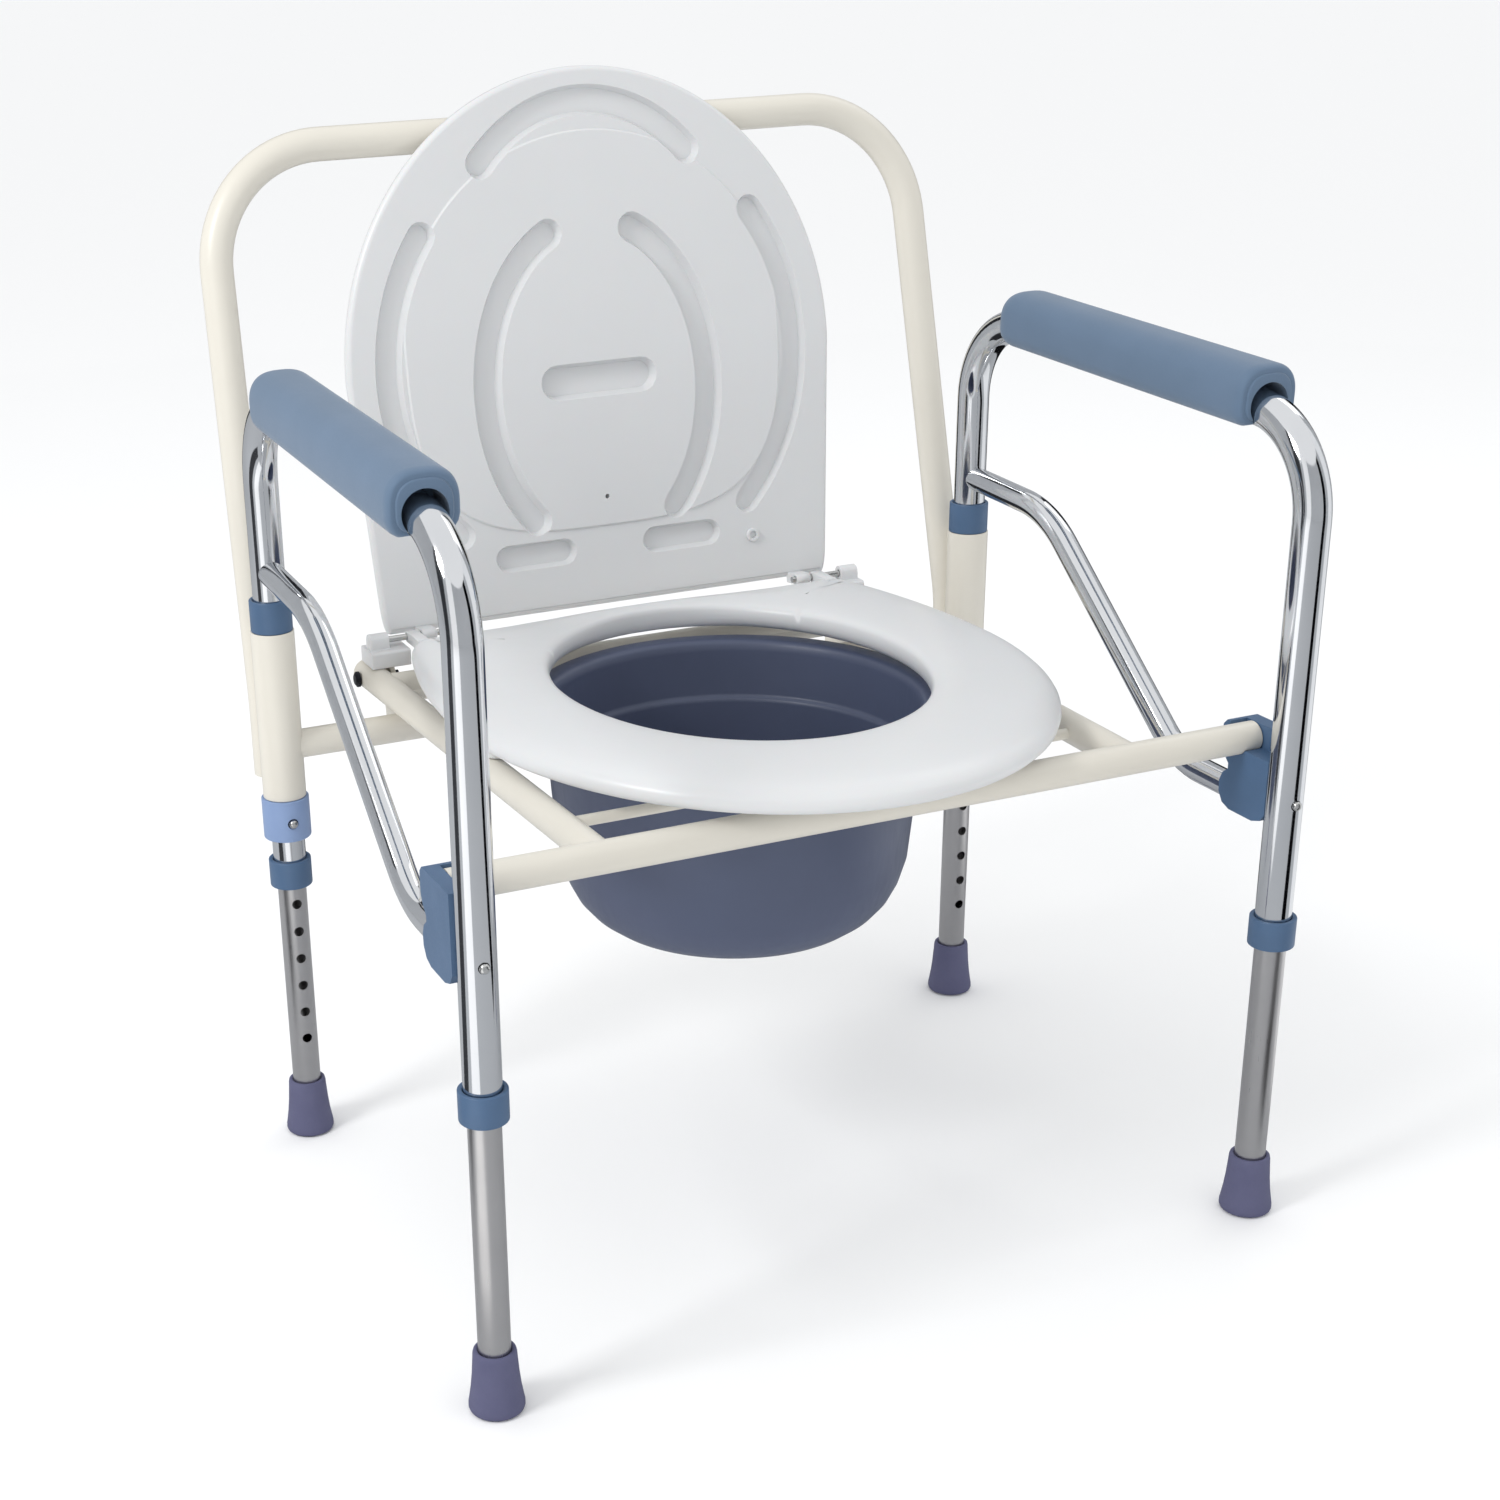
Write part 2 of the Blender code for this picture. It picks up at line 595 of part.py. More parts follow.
# ---------------------------------------------------------------- legs
def leg(end, side, sign):
    x = sign * LEG_X
    y, button_z, holes, top = {
        "front": (FRONT_Y, FRONT_BUTTON_Z, FRONT_HOLES, 0.3445),
        "rear": (REAR_Y, REAR_BUTTON_Z, REAR_HOLES, 0.2905),
    }[end]
    low = FOOT_FLOOR + GAP
    profile = pipe_profile(INNER_R, INNER_R - INNER_WALL, low, top)
    tube = turned(f"{end}_{side}_inner_leg", profile, (x, y, 0), SATIN)
    cutters = []
    for k in range(holes):
        z = button_z - k * HOLE_PITCH
        cutters.append(cutter_bar(f"{end}_{side}_height_hole", (x, y - 0.02, z), (x, y, z), HOLE_R, 10))
    boolean(tube, cutters)
    bore = INNER_R + GAP
    foot = [
        (0, 0),
        (0.0172, 0),
        (0.0190, 0.0018),
        (0.0190, 0.0060),
        (0.0168, 0.0200),
        (0.0152, FOOT_HEIGHT - 0.0020),
        (0.0142, FOOT_HEIGHT),
        (bore, FOOT_HEIGHT),
        (bore, FOOT_FLOOR),
        (0, FOOT_FLOOR),
    ]
    turned(f"{end}_{side}_foot", foot, (x, y, 0), FOOT_GREY)
    leg_button(end, side, (x, y, button_z))


def leg_button(end, side, axis_point):
    """The snap button that faces the front. Its stem stops at the chrome tube's inner face until pressed."""
    surface = CHROME_R if end == "front" else COLLAR_R
    depth = surface - (CHROME_R - CHROME_WALL) - 0.0001
    x, y, z = axis_point
    profile = [
        (0, -depth),
        (BUTTON_R, -depth),
        (BUTTON_R, BUTTON_PROUD - 0.0012),
        (BUTTON_R * 0.72, BUTTON_PROUD - 0.0003),
        (0, BUTTON_PROUD),
    ]
    turned(f"{end}_{side}_leg_button", profile, (x, y - surface, z), ZINC, 16, (0, -1, 0))


# ---------------------------------------------------------------- seat frame
def seat_frame():
    half = SEAT_FRONT_HALF
    ends = (-half, SEAT_FRONT_Y, SEAT_TUBE_Z), (half, SEAT_FRONT_Y, SEAT_TUBE_Z)
    rod("seat_front_tube", *ends, FRAME_R, CREAM)
    for side, sign in (("left", -1), ("right", 1)):
        start = (sign * SIDE_TUBE_FRONT_X, SEAT_FRONT_Y, SEAT_TUBE_Z)
        end = (sign * SIDE_TUBE_REAR_X, SIDE_TUBE_END_Y, SEAT_TUBE_Z)
        tube = rod(f"{side}_seat_side_tube", start, end, FRAME_R, CREAM)
        pivot_y = SIDE_TUBE_END_Y - 0.014
        across = (-0.3, SEAT_FRONT_Y, SEAT_TUBE_Z), (0.3, SEAT_FRONT_Y, SEAT_TUBE_Z)
        cope = cutter_bar(f"{side}_side_cope", *across, FRAME_R + GAP, 24)
        through = (sign * 0.18, pivot_y, SEAT_TUBE_Z), (sign * 0.26, pivot_y, SEAT_TUBE_Z)
        hole = cutter_bar(f"{side}_pivot_hole", *through, 0.0033, 12)
        boolean(tube, [cope, hole])
        pivot_bolt(side, sign, pivot_y)
    for name, y, radius, sides in (
        ("seat_rear_tube", SEAT_REAR_Y, FRAME_R, 16),
        ("front_bucket_rod", ROD_FRONT_Y, ROD_R, 10),
        ("rear_bucket_rod", ROD_REAR_Y, ROD_R, 10),
    ):
        bar = rod(name, (-0.23, y, SEAT_TUBE_Z), (0.23, y, SEAT_TUBE_Z), radius, CREAM, sides)
        copes = []
        for sign in (-1, 1):
            start = (sign * SIDE_TUBE_FRONT_X, SEAT_FRONT_Y, SEAT_TUBE_Z)
            end = (sign * SIDE_TUBE_REAR_X, SIDE_TUBE_END_Y, SEAT_TUBE_Z)
            beyond = Vector(end) + (Vector(end) - Vector(start)) * 0.1
            copes.append(cutter_bar(f"{name}_cope", start, beyond, FRAME_R + GAP, 24))
            copes.append(box(f"{name}_trim", *trim_box(sign)))
        boolean(bar, copes)


def trim_box(sign):
    """Everything outboard of the middle of a side tube, which the copes leave behind."""
    xs = sorted((sign * SIDE_TUBE_FRONT_X + sign * 0.006, sign * 0.4))
    return (xs[0], -0.4, SEAT_TUBE_Z - 0.05), (xs[1], 0.4, SEAT_TUBE_Z + 0.05)


def pivot_bolt(side, sign, pivot_y):
    x = sign * (side_tube_x(pivot_y) + FRAME_R + GAP)
    shank = 2 * FRAME_R + 0.004 + 0.006
    profile = [
        (0, -shank),
        (0.0030, -shank),
        (0.0030, 0),
        (0.0062, 0),
        (0.0062, 0.0022),
        (0.0040, 0.0038),
        (0, 0.0042),
    ]
    turned(f"{side}_pivot_bolt", profile, (x, pivot_y, SEAT_TUBE_Z), DARK, 16, (sign, 0, 0))


# ---------------------------------------------------------------- seat, lid and their hinges
def seat_outline(steps):
    """Half ellipse in front, flatter ellipse behind, cut straight at the rear edge."""
    rear = 0.360
    last = math.asin((SEAT_REAR_EDGE_Y - SEAT_MID_Y) / rear)
    points = []
    for i in range(steps + 1):
        angle = -math.pi / 2 + (last + math.pi / 2) * i / steps
        reach = rear if angle > 0 else SEAT_FRONT_LENGTH
        points.append((SEAT_HALF * math.cos(angle), SEAT_MID_Y + reach * math.sin(angle)))
    return points + [(-x, y) for x, y in points[:0:-1]]


def seat():
    outer = seat_outline(18)
    inner = []
    for x, y in outer:
        angle = math.atan2((y - OPENING_MID_Y) / 1.06, x)
        inner.append((OPENING_HALF * math.cos(angle), OPENING_MID_Y + OPENING_LENGTH * math.sin(angle)))
    mesh = ring_plate_mesh("seat", outer, inner, SEAT_BOTTOM_Z, SEAT_TOP_Z)
    ring = finish_object("seat", mesh, WHITE)
    set_axis(ring)
    bevelled(ring, 0.006, 2, 50)
    sides = ("left", -1), ("right", 1)
    boolean(ring, [lug(f"{side}_seat_lug", sign, 0.1740, 0.1835) for side, sign in sides], "UNION")
    ends = (-0.3, HINGE_Y, HINGE_Z), (0.3, HINGE_Y, HINGE_Z)
    cuts = [cutter_bar("seat_pin_bore", *ends, PIN_R + GAP, 12)]
    for side, sign in sides:
        x, y = sign * 0.2, SEAT_MID_Y - 0.03
        low, high = (x, y, SEAT_BOTTOM_Z - 0.005), (x, y, SEAT_BOTTOM_Z + BUFFER_STEM)
        cuts.append(cutter_bar(f"{side}_buffer_hole", low, high, BUFFER_STEM_R + GAP, 12))
        seat_buffer(side, x, y)
    boolean(ring, cuts)


def seat_buffer(side, x, y):
    """A push-in buffer under the seat that rests on the side tube."""
    rest, head = SEAT_TUBE_Z + FRAME_R + GAP, SEAT_BOTTOM_Z - GAP
    profile = [
        (0, rest),
        (BUFFER_R - 0.0015, rest),
        (BUFFER_R, rest + 0.0015),
        (BUFFER_R, head),
        (BUFFER_STEM_R, head),
        (BUFFER_STEM_R, SEAT_BOTTOM_Z + BUFFER_STEM - GAP),
        (0, SEAT_BOTTOM_Z + BUFFER_STEM - GAP),
    ]
    turned(f"{side}_seat_buffer", profile, (x, y, 0), WHITE, 20)


def set_axis(obj):
    """Moves the object's origin onto the seat and lid hinge without moving its mesh."""
    shift = Vector((0, HINGE_Y, HINGE_Z))
    obj.data.transform(Matrix.Translation(-shift))
    obj.location = shift


def lug(name, sign, x0, x1):
    """An arm that joins the seat's rear edge to the hinge pin."""
    angles = [math.pi * (i / 8 - 0.5) for i in range(9)]
    outline = [(HINGE_Y + LUG_R * math.cos(a), HINGE_Z + LUG_R * math.sin(a)) for a in angles]
    outline += [(SEAT_REAR_EDGE_Y - 0.008, HINGE_Z + LUG_R), (SEAT_REAR_EDGE_Y - 0.008, HINGE_Z - LUG_R)]
    return side_prism(name, outline, *sorted((sign * x0, sign * x1)))


def lid_outline():
    """The closed lid from above, with the hinge axis at the origin and the front towards -Y."""
    oval = 0.222
    points = [(0.1720, 0.006), (0.1720, 0.0), (LID_REAR_HALF, 0.0)]
    for i in range(17):
        angle = math.pi / 2 * i / 16
        points.append((LID_HALF * math.cos(angle), oval - LID_LENGTH - oval * math.sin(angle)))
    return points + [(-x, y) for x, y in points[-2::-1]]


def lid():
    """The lid is shaped lying closed, with its hinge at the origin, and then stood up."""
    low, high = LID_ABOVE_AXIS, LID_ABOVE_AXIS + LID_THICK
    plate = finish_object("lid", prism_mesh("lid", lid_outline(), low, high), WHITE)
    knuckles = []
    angles = [math.pi * (1 + i / 8) for i in range(9)]
    outline = [(LUG_R * math.cos(a), LUG_R * math.sin(a)) for a in angles]
    outline += [(LUG_R, low + 0.004), (-LUG_R, low + 0.004)]
    for side, sign in (("left", -1), ("right", 1)):
        knuckles.append(side_prism(f"{side}_lid_knuckle", outline, *sorted((sign * 0.1590, sign * 0.1715))))
    boolean(plate, knuckles, "UNION")
    cutters = [cutter_bar("lid_pin_bore", (-0.3, 0, 0), (0.3, 0, 0), PIN_R + GAP, 12)]
    for name, outline in lid_recesses():
        mesh = prism_mesh(name, outline, -0.02, low + LID_RECESS)
        cutters.append(finish_object(name, mesh, None, smooth=False))
    boolean(plate, cutters)
    stand = Matrix.Translation((0, HINGE_Y, HINGE_Z)) @ Matrix.Rotation(-(math.pi / 2 + LID_LEAN), 4, "X")
    for obj in [plate, *knuckles, *cutters]:
        obj.matrix_world = stand


def lid_recesses():
    """Outlines of the moulded recesses in the lid's underside, in the closed lid's own frame."""
    found = [
        ("recess_top", arc_slot((0, -0.243), (0.125, 0.148), -134, -46, 0.0105)),
        ("recess_middle", stadium((-0.036, -0.180), (0.036, -0.180), 0.0125)),
    ]
    for side, sign in (("left", -1), ("right", 1)):
        low = stadium((sign * 0.064 - 0.024, -0.047), (sign * 0.064 + 0.024, -0.047), 0.010)
        long = arc_slot((0, -0.193), (0.174, 0.178), *span(sign, -37, 44), 0.010)
        arc = arc_slot((0, -0.173), (0.095, 0.130), *span(sign, -68, 50), 0.0105)
        found += [(f"recess_low_{side}", low), (f"recess_long_{side}", long), (f"recess_arc_{side}", arc)]
    return found


def span(sign, first, last):
    """First and last angle of an arc on the right, or of its mirror image on the left."""
    return (first, last) if sign > 0 else (180 - last, 180 - first)


def hinges():
    """White blocks on the seat frame, each with an ear that holds the hinge pin outboard of the lid."""
    y, z = HINGE_Y, HINGE_Z
    low_z = SEAT_TUBE_Z + FRAME_R + GAP
    ear = [(y - 0.0062, z - 0.010), (y + 0.0062, z - 0.010)]
    for i in range(7):
        ear.append((y + 0.0062 * math.cos(math.pi * i / 6), z + 0.0062 * math.sin(math.pi * i / 6)))
    base = [(y - 0.014, low_z), (y + 0.014, low_z), (y + 0.014, z - 0.0070), (y + 0.0125, z - 0.0055)]
    base += [(y - 0.0125, z - 0.0055), (y - 0.014, z - 0.0070)]
    for side, sign in (("left", -1), ("right", 1)):
        block = side_prism(f"{side}_hinge_block", base, *sorted((sign * 0.1850, sign * 0.2170)), WHITE)
        raised = side_prism(f"{side}_hinge_ear", ear, *sorted((sign * 0.1995, sign * 0.2150)))
        boolean(block, [raised], "UNION")
        start, end = (sign * 0.1560, y, z), (sign * 0.2110, y, z)
        beyond = (sign * 0.2114, y, z)
        boolean(block, [cutter_bar(f"{side}_block_bore", start, beyond, PIN_R + GAP, 12)])
        rod(f"{side}_hinge_pin", start, end, PIN_R, ZINC, 12)


# ---------------------------------------------------------------- bucket
def bucket():
    top, bottom, wall = BUCKET_TOP_Z, BUCKET_BOTTOM_Z, 0.0025
    profile = [
        (0, bottom),
        (0.078, bottom),
        (0.102, bottom + 0.006),
        (0.120, bottom + 0.023),
        (0.131, bottom + 0.052),
        (0.1405, top - 0.0085),
        (0.1560, top - 0.0055),
        (0.1580, top - 0.0025),
        (0.1560, top),
        (0.1405, top),
        (0.1380, top - 0.0085),
        (0.1355, top - 0.045),
        (0.1320, top - 0.047),
        (0.1285, bottom + 0.053),
        (0.1178, bottom + 0.0245),
        (0.1010, bottom + 0.0088),
        (0.0775, bottom + wall),
        (0, bottom + wall),
    ]
    turned("bucket", profile, (0, BUCKET_Y, 0), PAIL, 32)


def swing_group(side, sign):
    """An empty on the sleeve's axis that carries everything which swings with one side frame."""
    place = Vector((sign * LEG_X, REAR_Y, SLEEVE_BOTTOM_Z))
    pivot = bpy.data.objects.new(f"{side}_frame_swing", None)
    pivot.location = place
    bpy.context.scene.collection.objects.link(pivot)
    own = ("arm_tube", "brace_tube", "arm_pad", "seat_clip", "retaining_collar")
    names = [f"{side}_{piece}" for piece in own]
    for end in ("front", "rear"):
        for piece in ("pad_screw", "ring_collar", "inner_leg", "foot", "leg_button"):
            names.append(f"{end}_{side}_{piece}")
    for name in names:
        obj = bpy.data.objects[name]
        obj.parent = pivot
        obj.matrix_parent_inverse = Matrix.Translation(-place)


def main():
    clear_scene()
    back_frame()
    for side, sign in (("left", -1), ("right", 1)):
        side_frame(side, sign)
        for end in ("front", "rear"):
            leg(end, side, sign)
        swing_group(side, sign)
    seat_frame()
    hinges()
    seat()
    lid()
    bucket()


main()
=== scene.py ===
"""Looks of a folding commode chair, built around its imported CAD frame.

Every visible piece is made here in metres, in the CAD's own frame: +Z up, the chair faces -Y and the
floor is Z = 0. Positions come from the CAD nodes' boxes and joints, and sizes from the add-on's properties.
"""

import json
import math

import bmesh
import bpy
from mathutils import Matrix, Vector


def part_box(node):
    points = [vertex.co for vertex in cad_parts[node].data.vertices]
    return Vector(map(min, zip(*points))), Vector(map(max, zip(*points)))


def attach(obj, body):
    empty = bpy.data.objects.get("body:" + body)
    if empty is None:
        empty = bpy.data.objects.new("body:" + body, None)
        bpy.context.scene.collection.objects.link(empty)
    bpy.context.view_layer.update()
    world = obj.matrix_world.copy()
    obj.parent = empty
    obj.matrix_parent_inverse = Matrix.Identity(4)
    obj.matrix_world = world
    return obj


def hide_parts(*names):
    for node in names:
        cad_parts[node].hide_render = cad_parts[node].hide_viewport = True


bl_info = {
    "name": "Commode chair",
    "version": (1, 0, 0),
    "blender": (4, 5, 0),
    "location": "3D View > Sidebar > Commode",
    "description": "Builds the finished pieces of a folding commode chair round its CAD frame",
    "category": "Add Mesh",
}

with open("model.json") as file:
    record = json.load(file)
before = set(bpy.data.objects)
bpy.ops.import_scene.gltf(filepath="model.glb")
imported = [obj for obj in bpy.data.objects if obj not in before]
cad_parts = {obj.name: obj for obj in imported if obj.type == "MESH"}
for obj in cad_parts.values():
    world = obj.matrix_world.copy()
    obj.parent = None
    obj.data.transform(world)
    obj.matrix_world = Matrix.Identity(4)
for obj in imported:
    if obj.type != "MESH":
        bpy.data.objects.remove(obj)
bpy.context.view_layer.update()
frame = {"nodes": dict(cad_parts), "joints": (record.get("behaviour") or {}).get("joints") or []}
SIDES = (("left", -1), ("right", 1))
ENDS = ("front", "rear")

TUBE_WALL = 0.0012  # of the chrome tubes and the leg tubes
BUTTON_HOLE = 0.0039  # radius of the holes in the tubes for the snap buttons
RUNNING_GAP = 0.0003  # between a chrome tube and the nylon round it
SLEEVE_BORE = 0.0150  # radius inside the cream sleeves
KNUCKLE = 0.0045  # radius of the seat's lugs and the lid's knuckles
PIN_BORE = 0.0028  # radius of the holes that the hinge pins pass through
SEAT_BOTTOM, SEAT_TOP = 0.3800, 0.4005
LID_LOW, LID_HIGH = 0.0120, 0.0260  # underside and top of the closed lid, above its hinge axis
ON_AXIS = 1e-6  # a smaller radius in a turned profile is a point on the axis
CAMERA_BEARING = -116.3  # degrees round the chair from +X to the camera


# ---------------------------------------------------------------- colours and nodes
def linear(code):
    """Linear red, green, blue and alpha of an sRGB hex colour."""
    values = [int(code[i : i + 2], 16) / 255 for i in (1, 3, 5)]
    return (*(v / 12.92 if v <= 0.04045 else ((v + 0.055) / 1.055) ** 2.4 for v in values), 1.0)


def add(tree, kind, inputs=None, **settings):
    """Adds a node with its settings. An input is a value, or another node's output, which is linked."""
    node = tree.nodes.new(kind)
    for key, value in settings.items():
        setattr(node, key, value)
    for key, value in (inputs or {}).items():
        if isinstance(value, bpy.types.NodeSocket):
            tree.links.new(value, node.inputs[key])
        else:
            node.inputs[key].default_value = value
    return node


# ---------------------------------------------------------------- finishes
def new_finish(name, constants):
    """A named material with a Principled shader, whose uniform values are set on its sockets."""
    material = bpy.data.materials.new(name)
    material.use_nodes = True
    shader = material.node_tree.nodes["Principled BSDF"]
    for key, value in constants.items():
        shader.inputs[key].default_value = value
    return material, material.node_tree, shader


def skin(
    name, constants, colours, roughness, grain_mm, depth_mm, cloud_mm=60, stretch=(1, 1, 1), strength=0.5
):
    """A finish with fine relief of grain_mm and broad clouds of cloud_mm in its colour and roughness."""
    material, tree, shader = new_finish(name, constants)
    place = add(tree, "ShaderNodeTexCoord").outputs["Object"]
    drawn = add(tree, "ShaderNodeMapping", {"Vector": place, "Scale": stretch}).outputs["Vector"]
    grain = add(tree, "ShaderNodeTexNoise", {"Vector": drawn, "Scale": 1000 / grain_mm, "Detail": 3.0})
    cloud = add(tree, "ShaderNodeTexNoise", {"Vector": place, "Scale": 1000 / cloud_mm, "Detail": 4.0})
    tone = add(tree, "ShaderNodeMix", {"Factor": cloud.outputs["Fac"]}, data_type="RGBA")
    tone.inputs[6].default_value, tone.inputs[7].default_value = colours
    both = add(tree, "ShaderNodeMath", {0: cloud.outputs["Fac"], 1: grain.outputs["Fac"]}, operation="ADD")
    gloss = add(tree, "ShaderNodeMapRange", {"Value": both.outputs[0], "From Min": 0.6, "From Max": 1.4})
    gloss.inputs["To Min"].default_value, gloss.inputs["To Max"].default_value = roughness
    relief = {"Height": grain.outputs["Fac"], "Distance": depth_mm / 1000, "Strength": strength}
    bump = add(tree, "ShaderNodeBump", relief)
    tree.links.new(tone.outputs[2], shader.inputs["Base Color"])
    tree.links.new(gloss.outputs["Result"], shader.inputs["Roughness"])
    tree.links.new(bump.outputs["Normal"], shader.inputs["Normal"])
    return material


def powder_coat(colours):
    """Cream powder coat, baked on: a satin skin with faint orange peel about 2 mm across."""
    constants = {"Coat Weight": 0.15, "Coat Roughness": 0.25}
    pair = linear("#DEDACF"), colours.cream
    return skin("Powder-coated steel, cream", constants, pair, (0.32, 0.42), 2.2, 0.10, 90, strength=0.35)


def chrome():
    """Bright chrome plate on drawn tube: a mirror, slightly softened by polish marks along the tube."""
    pair = linear("#E3E4E6"), linear("#D6D8DB")
    name, constants, along = "Chrome-plated steel, polished", {"Metallic": 1.0}, (1, 1, 0.08)
    return skin(name, constants, pair, (0.05, 0.12), 3.0, 0.012, 45, along, 0.25)


def drawn_aluminium():
    """Satin anodised aluminium tube: a soft sheen with fine drawing lines along the leg."""
    pair = linear("#D0CECD"), linear("#C3C1C1")
    name, constants, along = "Anodised aluminium, drawn", {"Metallic": 1.0}, (1, 1, 0.03)
    return skin(name, constants, pair, (0.26, 0.38), 0.9, 0.03, 40, along, 0.35)


def foam_skin(colours):
    """Self-skinned polyurethane foam: matt, with a fine leathery grain about 1 mm across."""
    constants = {"Sheen Weight": 0.18, "Sheen Roughness": 0.5, "Specular IOR Level": 0.35}
    pair = linear("#627892"), colours.pad
    return skin("Self-skinned foam, blue", constants, pair, (0.58, 0.74), 1.1, 0.12, 70)


def nylon(name, code, colour):
    """Injection-moulded nylon: satin, with a spark-eroded texture too fine to feel."""
    constants = {"Specular IOR Level": 0.45}
    return skin(name, constants, (linear(code), colour), (0.36, 0.50), 1.0, 0.05, 30, strength=0.4)


def foot_rubber(colours):
    """Moulded purple-grey rubber: matt and slightly dusty."""
    constants = {"Specular IOR Level": 0.35}
    pair = linear("#61627F"), colours.rubber
    return skin("Moulded rubber, purple-grey", constants, pair, (0.60, 0.82), 1.2, 0.12, 22)


def white_moulding(colours):
    """White polypropylene, blow moulded: semi-gloss, a little translucent, with soft shrink marks."""
    constants = {"Subsurface Weight": 0.06, "Subsurface Scale": 0.004}
    constants |= {"Coat Weight": 0.08, "Coat Roughness": 0.2}
    name, pair = "Polypropylene, white, blow moulded", (linear("#DCDDDE"), colours.white)
    return skin(name, constants, pair, (0.30, 0.40), 3.5, 0.04, 110, strength=0.25)


def pail_moulding(colours):
    """Blue-grey polypropylene, injection moulded: satin, with faint flow streaks down the wall."""
    name, constants = "Polypropylene, blue-grey, moulded", {"Specular IOR Level": 0.45}
    pair = linear("#545D75"), colours.bucket
    streaks = (1, 1, 0.25)
    return skin(name, constants, pair, (0.34, 0.48), 5.0, 0.05, 80, streaks, 0.3)


def plated_steel(name, codes, roughness):
    """Small turned steel parts, plated: dull mirror with fine turning marks."""
    pair = linear(codes[0]), linear(codes[1])
    return skin(name, {"Metallic": 1.0}, pair, roughness, 0.6, 0.02, 12, strength=0.3)


def make_finishes(colours):
    """Every finish of the chair, by the record's slot name."""
    return {
        "cream_powder_coat": powder_coat(colours),
        "chrome_plate": chrome(),
        "satin_aluminium": drawn_aluminium(),
        "arm_pad_blue": foam_skin(colours),
        "dark_blue_nylon": nylon("Nylon, mid blue, moulded", "#4C688A", colours.nylon),
        "light_blue_nylon": nylon("Nylon, light blue, moulded", "#869CC2", colours.collar),
        "foot_rubber": foot_rubber(colours),
        "white_plastic": white_moulding(colours),
        "bucket_plastic": pail_moulding(colours),
        "zinc_steel": plated_steel("Zinc-plated steel", ("#D8D8D6", "#BDBDBB"), (0.16, 0.30)),
        "dark_steel": plated_steel("Black-oxide steel", ("#34353A", "#232428"), (0.30, 0.45)),
    }


FINISHES = {}


# ---------------------------------------------------------------- shapes
def as_object(name, mesh, sharp=35):
    """A mesh's object in the scene, shaded smooth up to the sharp angle in degrees."""
    obj = bpy.data.objects.new(name, mesh)
    bpy.context.scene.collection.objects.link(obj)
    mesh.shade_smooth()
    mesh.set_sharp_from_angle(angle=math.radians(sharp))
    return obj


def place_piece(obj, slot, body, *nodes):
    """Gives a finished piece the material of its slot and its body, and hides the CAD nodes it stands for."""
    obj.data.materials.clear()
    obj.data.materials.append(FINISHES[slot])
    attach(obj, body)
    if nodes:
        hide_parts(*nodes)
    return obj


def closed_object(name, bm, sharp):
    """Turns a bmesh's faces outwards and makes it an object."""
    bmesh.ops.recalc_face_normals(bm, faces=bm.faces)
    mesh = bpy.data.meshes.new(name)
    bm.to_mesh(mesh)
    bm.free()
    return as_object(name, mesh, sharp)


def skinned(name, rings, loop=False, sharp=35):
    """A solid through rings of points with equal counts. Its two ends are capped, or joined in a loop."""
    bm = bmesh.new()
    rows = [[bm.verts.new(point) for point in ring] for ring in rings]
    pairs = list(zip(rows, rows[1:]))
    if loop:
        pairs.append((rows[-1], rows[0]))
    count = len(rows[0])
    for low, high in pairs:
        for i in range(count):
            bm.faces.new((low[i], low[(i + 1) % count], high[(i + 1) % count], high[i]))
    if not loop:
        bm.faces.new(rows[0])
        bm.faces.new(rows[-1])
    return closed_object(name, bm, sharp)


def turned(name, profile, place, sides=48, direction=(0, 0, 1), sharp=35):
    """Turns a closed (radius, height) profile about an axis through place. It may touch the axis."""
    tilt = Vector((0, 0, 1)).rotation_difference(Vector(direction)).to_matrix().to_4x4()
    where = Matrix.Translation(place) @ tilt
    bm = bmesh.new()
    rows = []
    for radius, height in profile:
        angles = [2 * math.pi * i / sides for i in range(1 if radius < ON_AXIS else sides)]
        ring = [Vector((radius * math.cos(a), radius * math.sin(a), height)) for a in angles]
        rows.append([bm.verts.new(where @ point) for point in ring])
    pairs = list(zip(rows, rows[1:]))
    if len(rows[0]) > 1 or len(rows[-1]) > 1:
        pairs.append((rows[-1], rows[0]))
    for low, high in pairs:
        for i in range(sides):
            j = (i + 1) % sides
            corners = (low[i % len(low)], low[j % len(low)], high[j % len(high)], high[i % len(high)])
            bm.faces.new(list(dict.fromkeys(corners)))
    return closed_object(name, bm, sharp)


def arc_angles(first, last, steps):
    """Evenly spaced angles in radians, between two given in degrees."""
    return [math.radians(first + (last - first) * i / steps) for i in range(steps + 1)]


def arc_corner(start, corner, end, steps=8):
    """A rounded corner between two points, as a quadratic curve."""
    shares = [k / steps for k in range(steps + 1)]
    return [start * (1 - t) ** 2 + corner * 2 * t * (1 - t) + end * t * t for t in shares]


def softened(profile, radius):
    """A closed profile with each of its corners rounded."""
    points = []
    for i, corner in enumerate(profile):
        corner = Vector(corner)
        before, after = Vector(profile[i - 1]) - corner, Vector(profile[(i + 1) % len(profile)]) - corner
        reach = min(radius, 0.45 * before.length, 0.45 * after.length)
        start, end = corner + before.normalized() * reach, corner + after.normalized() * reach
        points += arc_corner(start, corner, end, 3)
    return [(point.x, point.y) for point in points]


